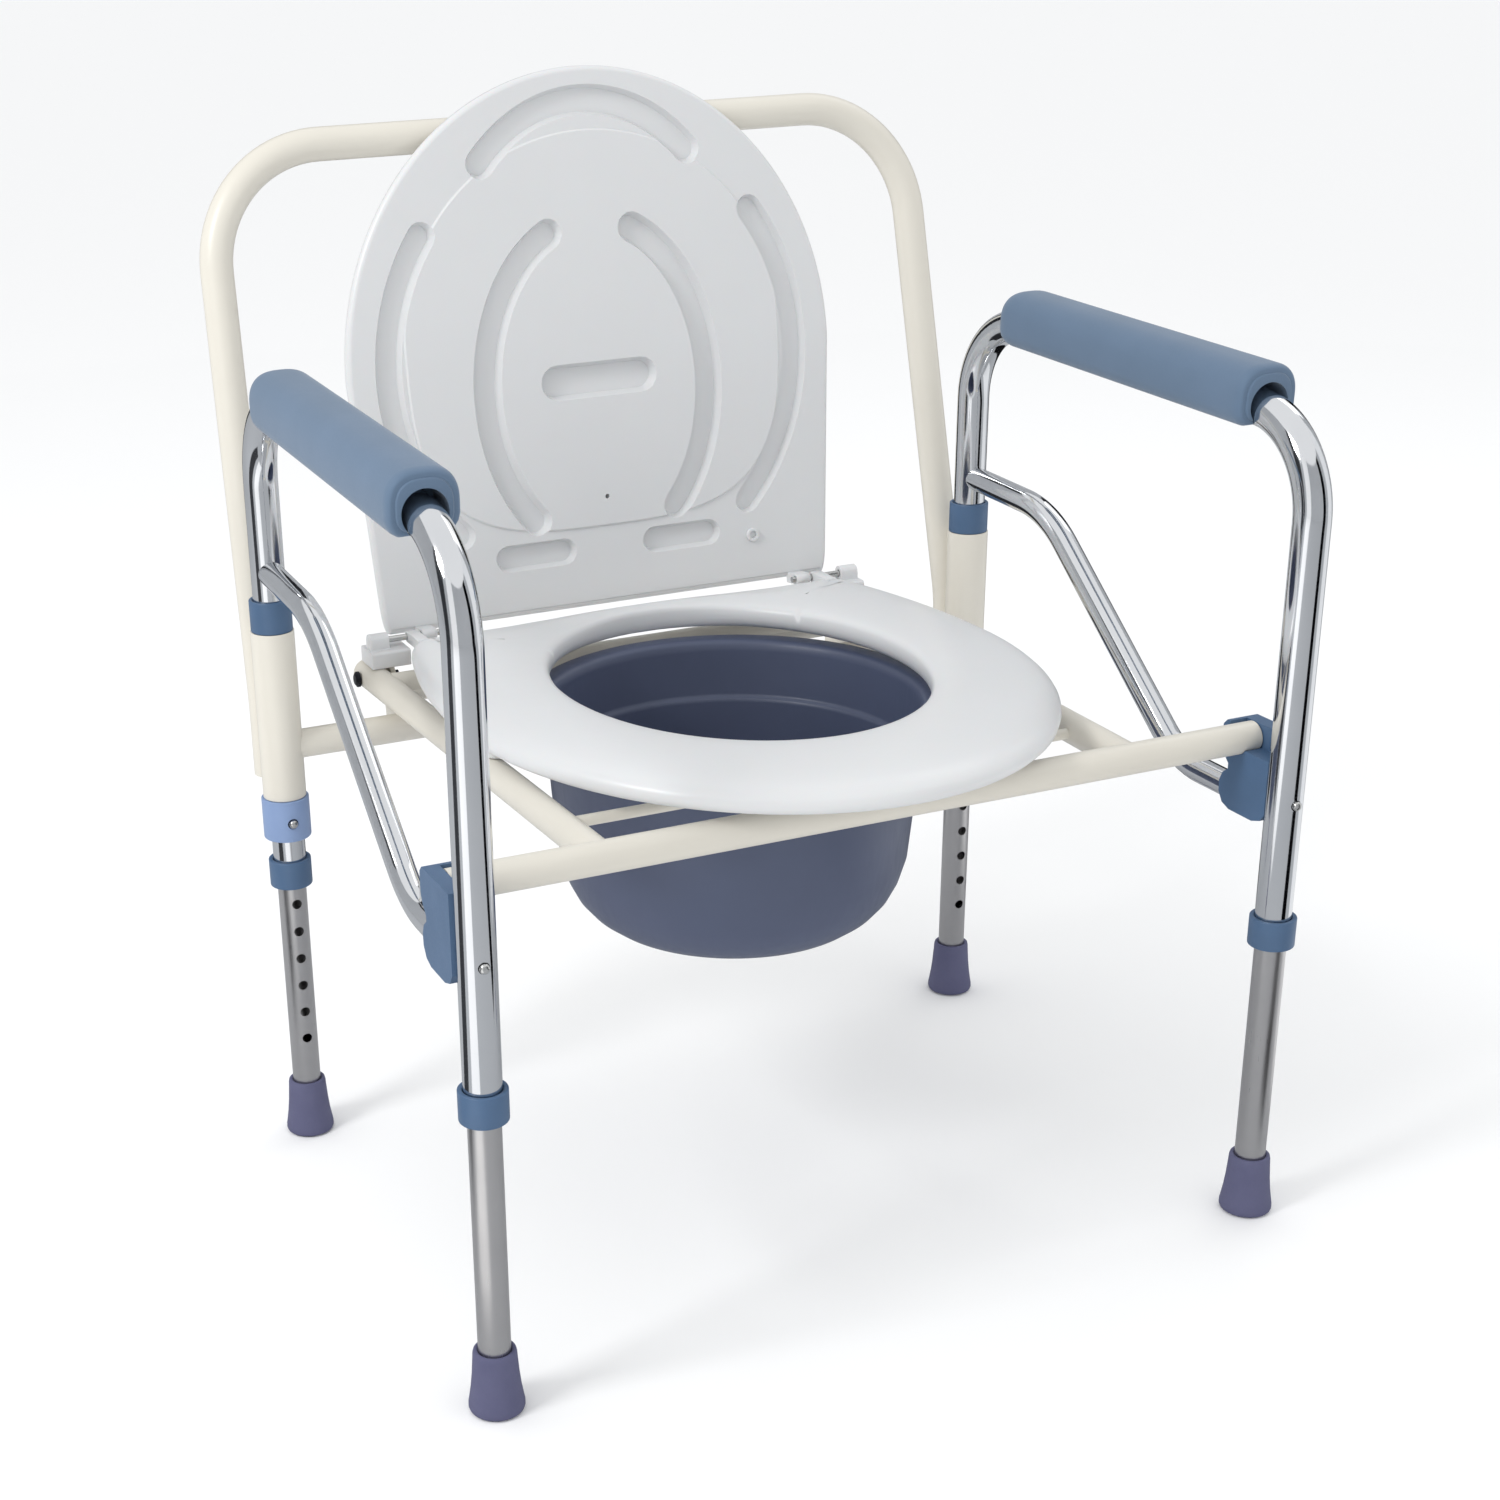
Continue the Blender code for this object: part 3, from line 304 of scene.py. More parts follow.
def bent_path(corners, radii, steps, spacing=None):
    """A path through corners with arcs of the given radii, and extra points along its straights if spaced."""
    points = [Vector(corners[0])]
    for before, corner, after, radius in zip(corners, corners[1:], corners[2:], radii):
        before, corner, after = Vector(before), Vector(corner), Vector(after)
        towards, away = (before - corner).normalized(), (after - corner).normalized()
        half = towards.angle(away) / 2
        centre = corner + (towards + away).normalized() * (radius / math.sin(half))
        reach = radius / math.tan(half)
        start, end = corner + towards * reach - centre, corner + away * reach - centre
        turn = start.rotation_difference(end)
        for i in range(steps + 1):
            part = turn.copy()
            part.angle = turn.angle * i / steps
            points.append(centre + part @ start)
    points.append(Vector(corners[-1]))
    if not spacing:
        return points
    filled = [points[0]]
    for start, end in zip(points, points[1:]):
        parts = max(1, round((end - start).length / spacing))
        filled += [start.lerp(end, k / parts) for k in range(1, parts + 1)]
    return filled


def hollow_tube(name, path, outer, sides=48):
    """An open tube along a path that lies in a plane X = constant."""
    rows = {outer: [], outer - TUBE_WALL: []}
    across = Vector((1, 0, 0))
    for i, point in enumerate(path):
        before = path[max(i - 1, 0)]
        after = path[min(i + 1, len(path) - 1)]
        along = ((point - before).normalized() + (after - point).normalized()).normalized()
        other = along.cross(across)
        for radius, rings in rows.items():
            turns = (2 * math.pi * k / sides for k in range(sides))
            spokes = [across * radius * math.cos(a) + other * radius * math.sin(a) for a in turns]
            rings.append([point + spoke for spoke in spokes])
    outside, inside = rows.values()
    return skinned(name, outside + inside[::-1], loop=True)


def line_mesh(name, points):
    """A mesh of edges only, from point to point."""
    mesh = bpy.data.meshes.new(name)
    mesh.from_pydata([tuple(p) for p in points], [(i, i + 1) for i in range(len(points) - 1)], [])
    return mesh


# ---------------------------------------------------------------- geometry nodes
def new_tree(name, inputs):
    """A geometry node tree with a geometry socket at each end and named inputs (name, type, default)."""
    tree = bpy.data.node_groups.new(name, "GeometryNodeTree")
    tree.is_modifier = True
    face = tree.interface
    face.new_socket("Geometry", in_out="INPUT", socket_type="NodeSocketGeometry")
    face.new_socket("Geometry", in_out="OUTPUT", socket_type="NodeSocketGeometry")
    for label, kind, default in inputs:
        socket = face.new_socket(label, in_out="INPUT", socket_type=kind)
        if default is not None:
            socket.default_value = default
    return tree, add(tree, "NodeGroupInput").outputs


def close_tree(tree, geometry, material):
    """Ends a tree in real geometry with its material set."""
    real = add(tree, "GeometryNodeRealizeInstances", {"Geometry": geometry}).outputs["Geometry"]
    painted = add(tree, "GeometryNodeSetMaterial", {"Geometry": real, "Material": material})
    add(tree, "NodeGroupOutput", {"Geometry": painted.outputs["Geometry"]})


def bent_bar_tree():
    """Sweeps a round bar along a line of points, with closed ends."""
    wanted = [
        ("Radius", "NodeSocketFloat", 0.01),
        ("Sides", "NodeSocketInt", 40),
        ("Material", "NodeSocketMaterial", None),
    ]
    tree, given = new_tree("Bent bar", wanted)
    line = add(tree, "GeometryNodeMeshToCurve", {"Mesh": given["Geometry"]}).outputs["Curve"]
    circle = {"Resolution": given["Sides"], "Radius": given["Radius"]}
    ring = add(tree, "GeometryNodeCurvePrimitiveCircle", circle).outputs["Curve"]
    sweep = {"Curve": line, "Profile Curve": ring, "Fill Caps": True}
    bar = add(tree, "GeometryNodeCurveToMesh", sweep).outputs["Mesh"]
    close_tree(tree, bar, given["Material"])


def hole_row_tree():
    """Drills a straight row of round holes through the front wall of an upright tube."""
    wanted = [
        ("Top Hole", "NodeSocketVector", (0, 0, 0)),
        ("Count", "NodeSocketInt", 1),
        ("Pitch", "NodeSocketVector", (0, 0, -0.0233)),
        ("Radius", "NodeSocketFloat", 0.0038),
        ("Depth", "NodeSocketFloat", 0.02),
        ("Material", "NodeSocketMaterial", None),
    ]
    tree, given = new_tree("Row of height holes", wanted)
    line = {"Count": given["Count"], "Start Location": given["Top Hole"], "Offset": given["Pitch"]}
    row = add(tree, "GeometryNodeMeshLine", line).outputs["Mesh"]
    size = {"Vertices": 32, "Radius": given["Radius"], "Depth": given["Depth"]}
    drill = add(tree, "GeometryNodeMeshCylinder", size).outputs["Mesh"]
    level = {"Points": row, "Instance": drill, "Rotation": (math.pi / 2, 0, 0)}
    drills = add(tree, "GeometryNodeInstanceOnPoints", level).outputs["Instances"]
    real = add(tree, "GeometryNodeRealizeInstances", {"Geometry": drills}).outputs["Geometry"]
    pair = {"Mesh 1": given["Geometry"], "Mesh 2": real}
    cut = add(tree, "GeometryNodeMeshBoolean", pair, operation="DIFFERENCE").outputs["Mesh"]
    close_tree(tree, cut, given["Material"])


def grown(obj, tree, values, sharp=35):
    """Runs a tree on an object, keeps the result as its plain mesh and removes the modifier."""
    modifier = obj.modifiers.new(tree.name, "NODES")
    modifier.node_group = tree
    for item in tree.interface.items_tree:
        if item.item_type == "SOCKET" and item.in_out == "INPUT" and item.name in values:
            modifier[item.identifier] = values[item.name]
    return kept(obj, sharp)


def kept(obj, sharp=35):
    """Replaces an object's mesh by its evaluated one. It is shaded smooth up to the sharp angle, if given."""
    bpy.context.view_layer.update()
    graph = bpy.context.evaluated_depsgraph_get()
    mesh = bpy.data.meshes.new_from_object(obj.evaluated_get(graph), depsgraph=graph)
    obj.modifiers.clear()
    obj.data = mesh
    if sharp:
        mesh.shade_smooth()
        mesh.set_sharp_from_angle(angle=math.radians(sharp))
    return obj


def bar(name, points, radius, slot, sides=40, sharp=50):
    """A solid round bar along a path."""
    obj = as_object(name, line_mesh(name, points))
    values = {"Radius": radius, "Sides": sides, "Material": FINISHES[slot]}
    return grown(obj, bpy.data.node_groups["Bent bar"], values, sharp)


def bar_piece(name, points, radius, slot, body, node):
    """A solid round bar or closed tube along a path, in place of a CAD node."""
    return place_piece(bar(name, points, radius, slot), slot, body, node)


def cream_bar(name, node, overlap):
    """A straight cream bar along X in place of a CAD node, with its ends run on by the overlap."""
    low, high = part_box(node)
    _, y, z = middle_of(node)
    ends = [(low.x - overlap, y, z), (high.x + overlap, y, z)]
    return bar_piece(name, ends, (high.z - low.z) / 2, "cream_powder_coat", "frame", node)


def drilled(obj, top_hole, slot, count=1, pitch=0.02, radius=BUTTON_HOLE):
    """Drills the height or button holes of one tube."""
    values = {
        "Top Hole": top_hole,
        "Count": count,
        "Pitch": (0, 0, -pitch),
        "Radius": radius,
        "Material": FINISHES[slot],
    }
    return grown(obj, bpy.data.node_groups["Row of height holes"], values, 30)


def cut_by(obj, cutters, operation="DIFFERENCE"):
    """Booleans an object with others, which are then removed."""
    for cutter in cutters:
        modifier = obj.modifiers.new("cut", "BOOLEAN")
        modifier.operation = operation
        modifier.solver = "EXACT"
        modifier.object = cutter
    kept(obj)
    for cutter in cutters:
        bpy.data.objects.remove(cutter)
    return obj


def round_cutter(start, end, radius):
    """A plain round bar to cut with."""
    along = Vector(end) - Vector(start)
    profile = [(0, 0), (radius, 0), (radius, along.length), (0, along.length)]
    return turned("round_cutter", profile, start, 48, along.normalized())


def eased(obj, width, segments=3, angle=30):
    """Rounds an object's hard edges with a small bevel."""
    modifier = obj.modifiers.new("eased edges", "BEVEL")
    modifier.width = width
    modifier.segments = segments
    modifier.limit_method = "ANGLE"
    modifier.angle_limit = math.radians(angle)
    modifier.use_clamp_overlap = True
    level = obj.modifiers.new("level faces", "WEIGHTED_NORMAL")
    level.weight = 100
    return kept(obj, None)


def from_node(name, node, width, slot, body):
    """A CAD solid of the right shape, with its edges eased as a moulding or a casting has them."""
    source = frame["nodes"][node].data
    bm = bmesh.new()
    bm.from_mesh(source)
    bmesh.ops.remove_doubles(bm, verts=bm.verts, dist=2e-6)
    bmesh.ops.dissolve_limit(bm, angle_limit=math.radians(1), verts=bm.verts, edges=bm.edges)
    mesh = bpy.data.meshes.new(name)
    bm.to_mesh(mesh)
    bm.free()
    obj = eased(as_object(name, mesh), width)
    return place_piece(obj, slot, body, node)


def inset_outline(points, distance):
    """A convex outline moved inwards along its normals."""
    moved = []
    for i, point in enumerate(points):
        before, after = Vector(points[i - 1]), Vector(points[(i + 1) % len(points)])
        along = (after - before).normalized()
        moved.append(Vector(point) + Vector((-along.y, along.x)) * distance)
    return moved


def loft(name, levels, sharp=35):
    """A solid through flat outlines with equal counts, each at its own height."""
    return skinned(name, [[(p[0], p[1], z) for p in outline] for outline, z in levels], sharp=sharp)


def slot_outline(middle, radius, steps=8):
    """The outline of a round-ended slot along a middle line of points."""
    middle = [Vector(p) for p in middle]
    left, right = [], []
    for i, point in enumerate(middle):
        along = (middle[min(i + 1, len(middle) - 1)] - middle[max(i - 1, 0)]).normalized()
        across = Vector((-along.y, along.x)) * radius
        left.append(point + across)
        right.append(point - across)
    ends = []
    for point, towards in ((middle[-1], middle[-1] - middle[-2]), (middle[0], middle[0] - middle[1])):
        facing = math.atan2(towards.y, towards.x)
        angles = [facing + math.pi * (0.5 - k / steps) for k in range(1, steps)]
        ends.append([point + Vector((math.cos(a), math.sin(a))) * radius for a in angles])
    return left + ends[0] + right[::-1] + ends[1]


def arc_line(centre, semi, first, last):
    """Points along part of an ellipse, between two angles in degrees."""
    angles = arc_angles(first, last, 26)
    return [(centre[0] + semi[0] * math.cos(a), centre[1] + semi[1] * math.sin(a)) for a in angles]


# ---------------------------------------------------------------- places from the CAD
def middle_of(node):
    """The middle of a CAD node's box."""
    return tuple((low + high) / 2 for low, high in zip(*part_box(node)))


def axis_of(node):
    """The same middle as x and y, for pieces turned about an upright axis."""
    return middle_of(node)[:2]


def joint(name):
    """A joint of the CAD by its name."""
    return next(item for item in frame["joints"] if item["name"] == name)


def leg_lines(side, sizes):
    """The Y of one side frame's front and rear tube axes."""
    low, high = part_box(f"{side}_arm_tube")
    return low.y + sizes.chrome_radius, high.y - sizes.chrome_radius


def button_place(end, side):
    """A point just inside the front wall of the tubes, where a snap button comes through."""
    button = f"{end}_{side}_leg_button"
    x, _, z = middle_of(button)
    return x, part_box(button)[0].y + 0.01, z


# ---------------------------------------------------------------- side frames, legs and collars
def arm_path(side, sizes, spacing=None):
    """The bent line of a side frame's main tube: up the front leg, over the arm and down the rear leg."""
    x, base = middle_of(f"{side}_arm_tube")[0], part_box(f"{side}_arm_tube")[0].z
    front, rear = leg_lines(side, sizes)
    corners = [(x, front, base), (x, front, sizes.arm_front), (x, rear, sizes.arm_rear), (x, rear, base)]
    return bent_path(corners, [sizes.arm_bend] * 2, 26, spacing)


def arm_tube(side, sizes):
    """A side frame's main tube, open at its lower ends, with its two button holes."""
    obj = hollow_tube(f"{side}_arm_chrome", arm_path(side, sizes, 0.003), sizes.chrome_radius)
    for end in ENDS:
        drilled(obj, button_place(end, side), "chrome_plate")
    return place_piece(obj, "chrome_plate", f"{side}_side_frame", f"{side}_arm_tube")


def brace_tube(side, sizes):
    """The S-bent brace between a side frame's legs, with its ends coped to stop inside their walls."""
    node = f"{side}_brace_tube"
    x = middle_of(node)[0]
    front, rear = leg_lines(side, sizes)
    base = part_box(node)[0].z + sizes.brace_radius
    entry = 0.008  # short of the leg's axis, before coping
    corners = [(rear - entry, 0.468), (front + 0.306, 0.464), (front + 0.118, base), (front + entry, base)]
    path = bent_path([(x, y, z) for y, z in corners], [0.100, 0.080], 20)
    body = f"{side}_side_frame"
    obj = bar_piece(f"{side}_brace_chrome", path, sizes.brace_radius, "chrome_plate", body, node)
    cope = sizes.chrome_radius - 0.0007
    return cut_by(obj, [round_cutter((x, y, 0.2), (x, y, 0.6), cope) for y in (front, rear)])


def arm_pad(side, sizes):
    """A D-section foam pad with rounded ends. The front end has a raised nose round the tube's arch."""
    node = f"{side}_arm_pad"
    low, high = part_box(node)
    front, rear = leg_lines(side, sizes)
    slope = (sizes.arm_rear - sizes.arm_front) / (rear - front)
    along, across = Vector((0, 1, slope)).normalized(), Vector((1, 0, 0))
    up = across.cross(along)
    nose_room = 0.0015  # that the nose stands out by, and as much again at the rear
    start = Vector((middle_of(node)[0], low.y + nose_room, sizes.arm_front + slope * (low.y - front)))
    length = (high.y - low.y - 2 * nose_room) / along.y
    section = pad_section(0.0238, 0.0298, -0.0108)
    middle = Vector((0, 0.006))

    def ring(distance, scale):
        scaled = [middle + (point - middle) * scale for point in section]
        return [start + along * distance + across * p.x + up * p.y for p in scaled]

    front_round, rear_round = 0.007, 0.016
    straight = length - front_round - rear_round
    stations = [(front_round * (1 - math.cos(a)), 0.86 + 0.14 * math.sin(a)) for a in arc_angles(0, 90, 10)]
    stations += [(front_round + straight * k / 30, 1.0) for k in range(1, 31)]
    for a in arc_angles(0, 90, 14)[1:]:
        stations.append((length - rear_round * (1 - math.sin(a)), 0.66 + 0.34 * math.cos(a)))
    pad = skinned(f"{side}_arm_pad_foam", [ring(*station) for station in stations], sharp=50)
    nose = ((-0.0014, 0.70), (-0.0011, 0.74), (-0.0001, 0.77), (0.004, 0.78), (0.008, 0.78))
    cut_by(pad, [skinned("nose", [ring(*station) for station in nose])], "UNION")
    radius = sizes.chrome_radius
    tunnel = bar("tunnel", arm_path(side, sizes), radius + 0.0004, "arm_pad_blue", 48, 35)
    arch_line = [start - along * 0.05 + up * 0.0032, start + along * 0.026 + up * 0.0032]
    arch = bar("arch", arch_line, radius + 0.0024, "arm_pad_blue", 48, 35)
    cut_by(pad, [tunnel, arch])
    return place_piece(pad, "arm_pad_blue", f"{side}_side_frame", node)


def pad_section(half, crown, skirt):
    """The pad's D-section: a crowned top, upright sides and a narrower, rounded skirt."""
    shoulder = 0.008
    points = []
    for angle in arc_angles(0, 180, 32):
        x = half * math.copysign(abs(math.cos(angle)) ** 0.72, math.cos(angle))
        points.append(Vector((x, shoulder + (crown - shoulder) * math.sin(angle) ** 0.86)))
    lower = [(half, 0.0), (half - 0.0012, skirt + 0.0062)]
    lower += [(half - 0.0040, skirt + 0.0022), (half - 0.0075, skirt)]
    return points + [Vector((-x, y)) for x, y in lower] + [Vector(p) for p in lower[::-1]]


def collar_ring(name, node, bore, radius=0.0012):
    """A ring whose outside and ends come from its CAD node's box."""
    low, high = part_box(node)
    outer = (high.x - low.x) / 2
    profile = softened([(bore, low.z), (outer, low.z), (outer, high.z), (bore, high.z)], radius)
    return turned(name, profile, (*axis_of(node), 0), 64)


def ring_collars(side, sizes):
    """Blue rings that close the chrome tubes' lower ends round the telescopic legs."""
    bore, lip = sizes.chrome_radius + RUNNING_GAP, sizes.inner_radius + 0.0004
    for end in ENDS:
        node = f"{end}_{side}_ring_collar"
        low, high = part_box(node)
        outer, step = (high.x - low.x) / 2, low.z + 0.0017
        shape = [(lip, low.z), (outer, low.z), (outer, high.z), (bore, high.z), (bore, step), (lip, step)]
        obj = turned(f"{node}_nylon", softened(shape, 0.0011), (*axis_of(node), 0), 64)
        place_piece(obj, "dark_blue_nylon", f"{side}_side_frame", node)


def retaining_collar(side, sizes):
    """The light blue collar under the sleeve, with the hole that the rear button comes through."""
    node = f"{side}_retaining_collar"
    obj = collar_ring(f"{node}_nylon", node, sizes.chrome_radius + RUNNING_GAP)
    drilled(obj, button_place("rear", side), "light_blue_nylon", radius=0.0042)
    return place_piece(obj, "light_blue_nylon", f"{side}_side_frame", node)


def inner_leg(end, side, sizes):
    """A telescopic leg tube, with its row of height holes facing the front."""
    node = f"{end}_{side}_inner_leg"
    low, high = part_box(node)
    x, y = axis_of(node)
    tall = high.z - low.z
    count = max(2, round(tall / 0.0026))
    path = [Vector((x, y, low.z + tall * k / count)) for k in range(count + 1)]
    obj = hollow_tube(f"{node}_satin", path, sizes.inner_radius)
    top_hole = (x, y - 0.012, middle_of(f"{end}_{side}_leg_button")[2])
    holes = sizes.front_holes if end == "front" else sizes.rear_holes
    drilled(obj, top_hole, "satin_aluminium", holes, sizes.hole_pitch)
    return place_piece(obj, "satin_aluminium", f"{end}_{side}_leg", node)


def foot(end, side, sizes):
    """A flared rubber ferrule with a rolled base and a rounded mouth."""
    node = f"{end}_{side}_foot"
    low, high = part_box(node)
    wide, tall, bore = (high.x - low.x) / 2, high.z, sizes.inner_radius + 0.0002
    profile = [
        (0, 0), (wide - 0.0035, 0), (wide - 0.0020, 0.0003), (wide - 0.0006, 0.0012), (wide, 0.0028),
        (wide - 0.0001, 0.0055), (wide - 0.0008, 0.0095), (wide - 0.0020, 0.0170), (wide - 0.0031, 0.0270),
        (wide - 0.0039, tall - 0.0080), (0.0148, tall - 0.0028), (0.0143, tall - 0.0008), (0.0134, tall),
        (bore + 0.0008, tall), (bore, tall - 0.0008), (bore, 0.0060), (0, 0.0060),
    ]
    obj = turned(f"{node}_rubber", profile, (*axis_of(node), 0), 64, sharp=50)
    return place_piece(obj, "foot_rubber", f"{end}_{side}_leg", node)


def snap_button(end, side):
    """A domed steel button that points to the front."""
    node = f"{end}_{side}_leg_button"
    low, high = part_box(node)
    x, _, z = middle_of(node)
    radius, dome = 0.0034, 0.0024
    tip = high.y - low.y
    profile = [(0, 0), (radius, 0)]
    profile += [(radius * math.cos(a), tip - dome + dome * math.sin(a)) for a in arc_angles(0, 90, 8)[:-1]]
    profile.append((0, tip))
    obj = turned(f"{node}_steel", profile, (x, high.y, z), 32, (0, -1, 0), 50)
    return place_piece(obj, "zinc_steel", f"{end}_{side}_button", node)


# ---------------------------------------------------------------- back frame and seat frame
def back_hoop(sizes):
    """The cream back tube, upright below its two lower bends and leaning back above them."""
    low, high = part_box("back_tube")
    radius, bend_z, bend = sizes.back_radius, 0.3564, 0.14
    foot_y, top_z, half = low.y + radius, high.z - radius, high.x - radius
    top_y = foot_y + sizes.back_slope * (top_z - bend_z)
    right = [(half, foot_y, low.z), (half, foot_y, bend_z), (sizes.back_top_half, top_y, top_z)]
    corners = [(-x, y, z) for x, y, z in right] + right[::-1]
    path = bent_path(corners, [bend, sizes.back_corner, sizes.back_corner, bend], 24)
    bar_piece("back_hoop", path, radius, "cream_powder_coat", "frame", "back_tube")


def sleeves(sizes):
    """The sleeves round the rear tubes, with the tie between them, their bushes and the pivot brackets."""
    tie = cream_bar("sleeve_tie", "lower_cross_tube", 0.001)
    axes = [axis_of(f"{side}_sleeve") for side, _ in SIDES]
    cut_by(tie, [round_cutter((*axis, 0.2), (*axis, 0.5), SLEEVE_BORE + 0.0006) for axis in axes])
    bore, neck = sizes.chrome_radius + RUNNING_GAP, SLEEVE_BORE - RUNNING_GAP
    for side, _ in SIDES:
        sleeve = f"{side}_sleeve"
        obj = collar_ring(f"{sleeve}_coated", sleeve, SLEEVE_BORE, 0.0006)
        place_piece(obj, "cream_powder_coat", "frame", sleeve)
        bush = f"{side}_sleeve_bush"
        low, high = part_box(bush)
        outer, step = (high.x - low.x) / 2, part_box(sleeve)[1].z + 0.0003
        shape = [(bore, low.z), (neck, low.z), (neck, step), (outer, step), (outer, high.z), (bore, high.z)]
        obj = turned(f"{bush}_nylon", softened(shape, 0.0016), (*axis_of(bush), 0), 64)
        place_piece(obj, "dark_blue_nylon", "frame", bush)
        bracket = f"{side}_pivot_bracket"
        from_node(f"{bracket}_plate", bracket, 0.0007, "cream_powder_coat", "frame")


def seat_frame():
    """The cream seat frame, and the two rods that carry the bucket."""
    cream_bar("front_rail", "seat_front_tube", 0)
    low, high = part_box("seat_front_tube")
    z, radius = (low.z + high.z) / 2, (high.z - low.z) / 2
    for side, sign in SIDES:
        node = f"{side}_seat_side_tube"
        low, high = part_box(node)
        front_x, rear_x = (low.x + radius, high.x - radius)[::sign]
        ends = [(front_x, low.y - 0.004, z), (rear_x, high.y, z)]
        bar_piece(f"{side}_rail", ends, radius, "cream_powder_coat", "frame", node)
    for node in ("seat_rear_tube", "front_bucket_rod", "rear_bucket_rod"):
        cream_bar(f"{node}_coated", node, 0.002)


def kept_hardware():
    """CAD nodes whose shape is right: clips and hinge blocks with eased edges, and small steel parts."""
    for side, _ in SIDES:
        from_node(f"{side}_clip_nylon", f"{side}_seat_clip", 0.0014, "dark_blue_nylon", f"{side}_side_frame")
        from_node(f"{side}_hinge_moulding", f"{side}_hinge_block", 0.0009, "white_plastic", "frame")
        for node in (f"{side}_hinge_pin", f"front_{side}_pad_screw", f"rear_{side}_pad_screw"):
            paint_node(node, "zinc_steel")
        paint_node(f"{side}_pivot_bolt", "dark_steel")


def paint_node(node, slot):
    """Gives a CAD node that stays visible its finish."""
    for place in frame["nodes"][node].material_slots:
        place.material = FINISHES[slot]


# ---------------------------------------------------------------- seat, lid and bucket
def seat_edge(half, front, rear, sizes):
    """The seat's outer edge from the middle of its front: two half ovals, cut off straight at the rear."""
    rear_oval = 0.360
    middle = front + sizes.seat_front_length
    last = math.degrees(math.asin((rear - middle) / rear_oval))
    right = []
    for angle in arc_angles(-90, last, 100):
        reach = rear_oval if angle > 0 else sizes.seat_front_length
        right.append(Vector((half * math.cos(angle), middle + reach * math.sin(angle))))
    corner = right[-1]
    right = right[:-3] + arc_corner(right[-4], corner, Vector((corner.x - 0.012, corner.y)))
    right += [Vector((right[-1].x * (1 - k / 12), rear)) for k in range(1, 12)]
    return right + [Vector((-p.x, p.y)) for p in right[:0:-1]]


def seat_section():
    """The ring's section: share of the way from the opening to the edge, shift outwards and height."""
    low, top = SEAT_BOTTOM, SEAT_TOP
    lip = [
        (0.0035, low + 0.0015), (0.0010, low + 0.0040), (0.0, low + 0.0080), (0.0006, top - 0.0062),
        (0.0026, top - 0.0034), (0.0060, top - 0.0020), (0.0120, top - 0.0010), (0.0220, top - 0.0002),
    ]
    edge = [
        (-0.030, top - 0.0010), (-0.018, top - 0.0024), (-0.0100, top - 0.0042), (-0.0050, top - 0.0064),
        (-0.0020, top - 0.0090), (-0.0004, top - 0.0115), (0.0, low + 0.0060), (-0.0008, low + 0.0028),
        (-0.0028, low + 0.0008), (-0.0060, low), (-0.0120, low),
    ]
    crown = [(0.30, 0.0, top), (0.60, 0.0, top - 0.0001)]
    underside = [(0.5, 0.0, low), (0.0, 0.0090, low), (0.0, 0.0055, low + 0.0004)]
    return [(0.0, *p) for p in lip] + crown + [(1.0, *p) for p in edge] + underside


def seat_ring(sizes):
    """The seat: a smooth D-shaped ring, lightly crowned, with a rolled lip round its opening."""
    low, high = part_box("seat")
    _, y, z = joint("seat_hinge")["pos_m"]
    rear = y - 0.022
    outer = seat_edge(high.x, low.y, rear, sizes)
    front_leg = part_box("front_left_foot")[0].y + 0.019
    middle = sizes.opening_mid + front_leg
    wide, long = sizes.opening_half, sizes.opening_length
    squash = 1.06  # evens out the spokes from the opening to the edge
    inner, inwards, outwards = [], [], []
    for i, p in enumerate(outer):
        angle = math.atan2((p.y - middle) / squash, p.x)
        across, along = wide * math.cos(angle), long * math.sin(angle)
        inner.append(Vector((across, middle + along)))
        inwards.append(Vector((across / wide**2, along / long**2)).normalized())
        side = (outer[(i + 1) % len(outer)] - outer[i - 1]).normalized()
        outwards.append(Vector((side.y, -side.x)))
    lip, roll, full_width = 0.022, 0.030, 0.066
    rings = []
    for share, shift, height in seat_section():
        ring = []
        for a, b, inward, outward in zip(inner, outer, inwards, outwards):
            fit = min(1.0, (b - a).length / full_width)
            if share == 0.0:
                p = a + inward * shift * fit
            elif share == 1.0:
                p = b + outward * shift * fit
            else:
                p = (a + inward * lip * fit).lerp(b - outward * roll * fit, share)
            ring.append((p.x, p.y, height))
        rings.append(ring)
    seat = skinned("seat_moulding", rings, loop=True, sharp=60)
    lugs = []
    for side, sign in SIDES:
        outline = [(y + KNUCKLE * math.cos(a), z + KNUCKLE * math.sin(a)) for a in arc_angles(-90, 90, 16)]
        outline += [(rear - 0.006, z + KNUCKLE), (rear - 0.006, z - KNUCKLE)]
        lugs.append(hinge_lug(outline, (y, z), (sign * 0.1740, sign * 0.1835), (sign * 0.17, sign * 0.19)))
        seat_buffer(side)
    join_pieces(seat, lugs)
    return place_piece(seat, "white_plastic", "seat", "seat")


def seat_buffer(side):
    """A round push-in buffer between the seat and the side tube."""
    node = f"{side}_seat_buffer"
    low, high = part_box(node)
    wide, top = (high.x - low.x) / 2, SEAT_BOTTOM
    profile = [(0, low.z), (wide - 0.0025, low.z), (wide - 0.0008, low.z + 0.0008), (wide, low.z + 0.0028)]
    profile += [(wide, top - 0.0008), (wide - 0.0008, top), (0, top)]
    obj = turned(f"{node}_moulding", profile, (*axis_of(node), 0), sharp=50)
    place_piece(obj, "white_plastic", "seat", node)


def hinge_lug(outline, axis, span, drill):
    """A plate over a span of X through (y, z) points, with eased edges and the hinge pin's hole."""
    plate = eased(skinned("lug", [[(x, *point) for point in outline] for x in sorted(span)]), 0.0008, 2)
    start, end = ((x, *axis) for x in drill)
    return cut_by(plate, [round_cutter(start, end, PIN_BORE)])


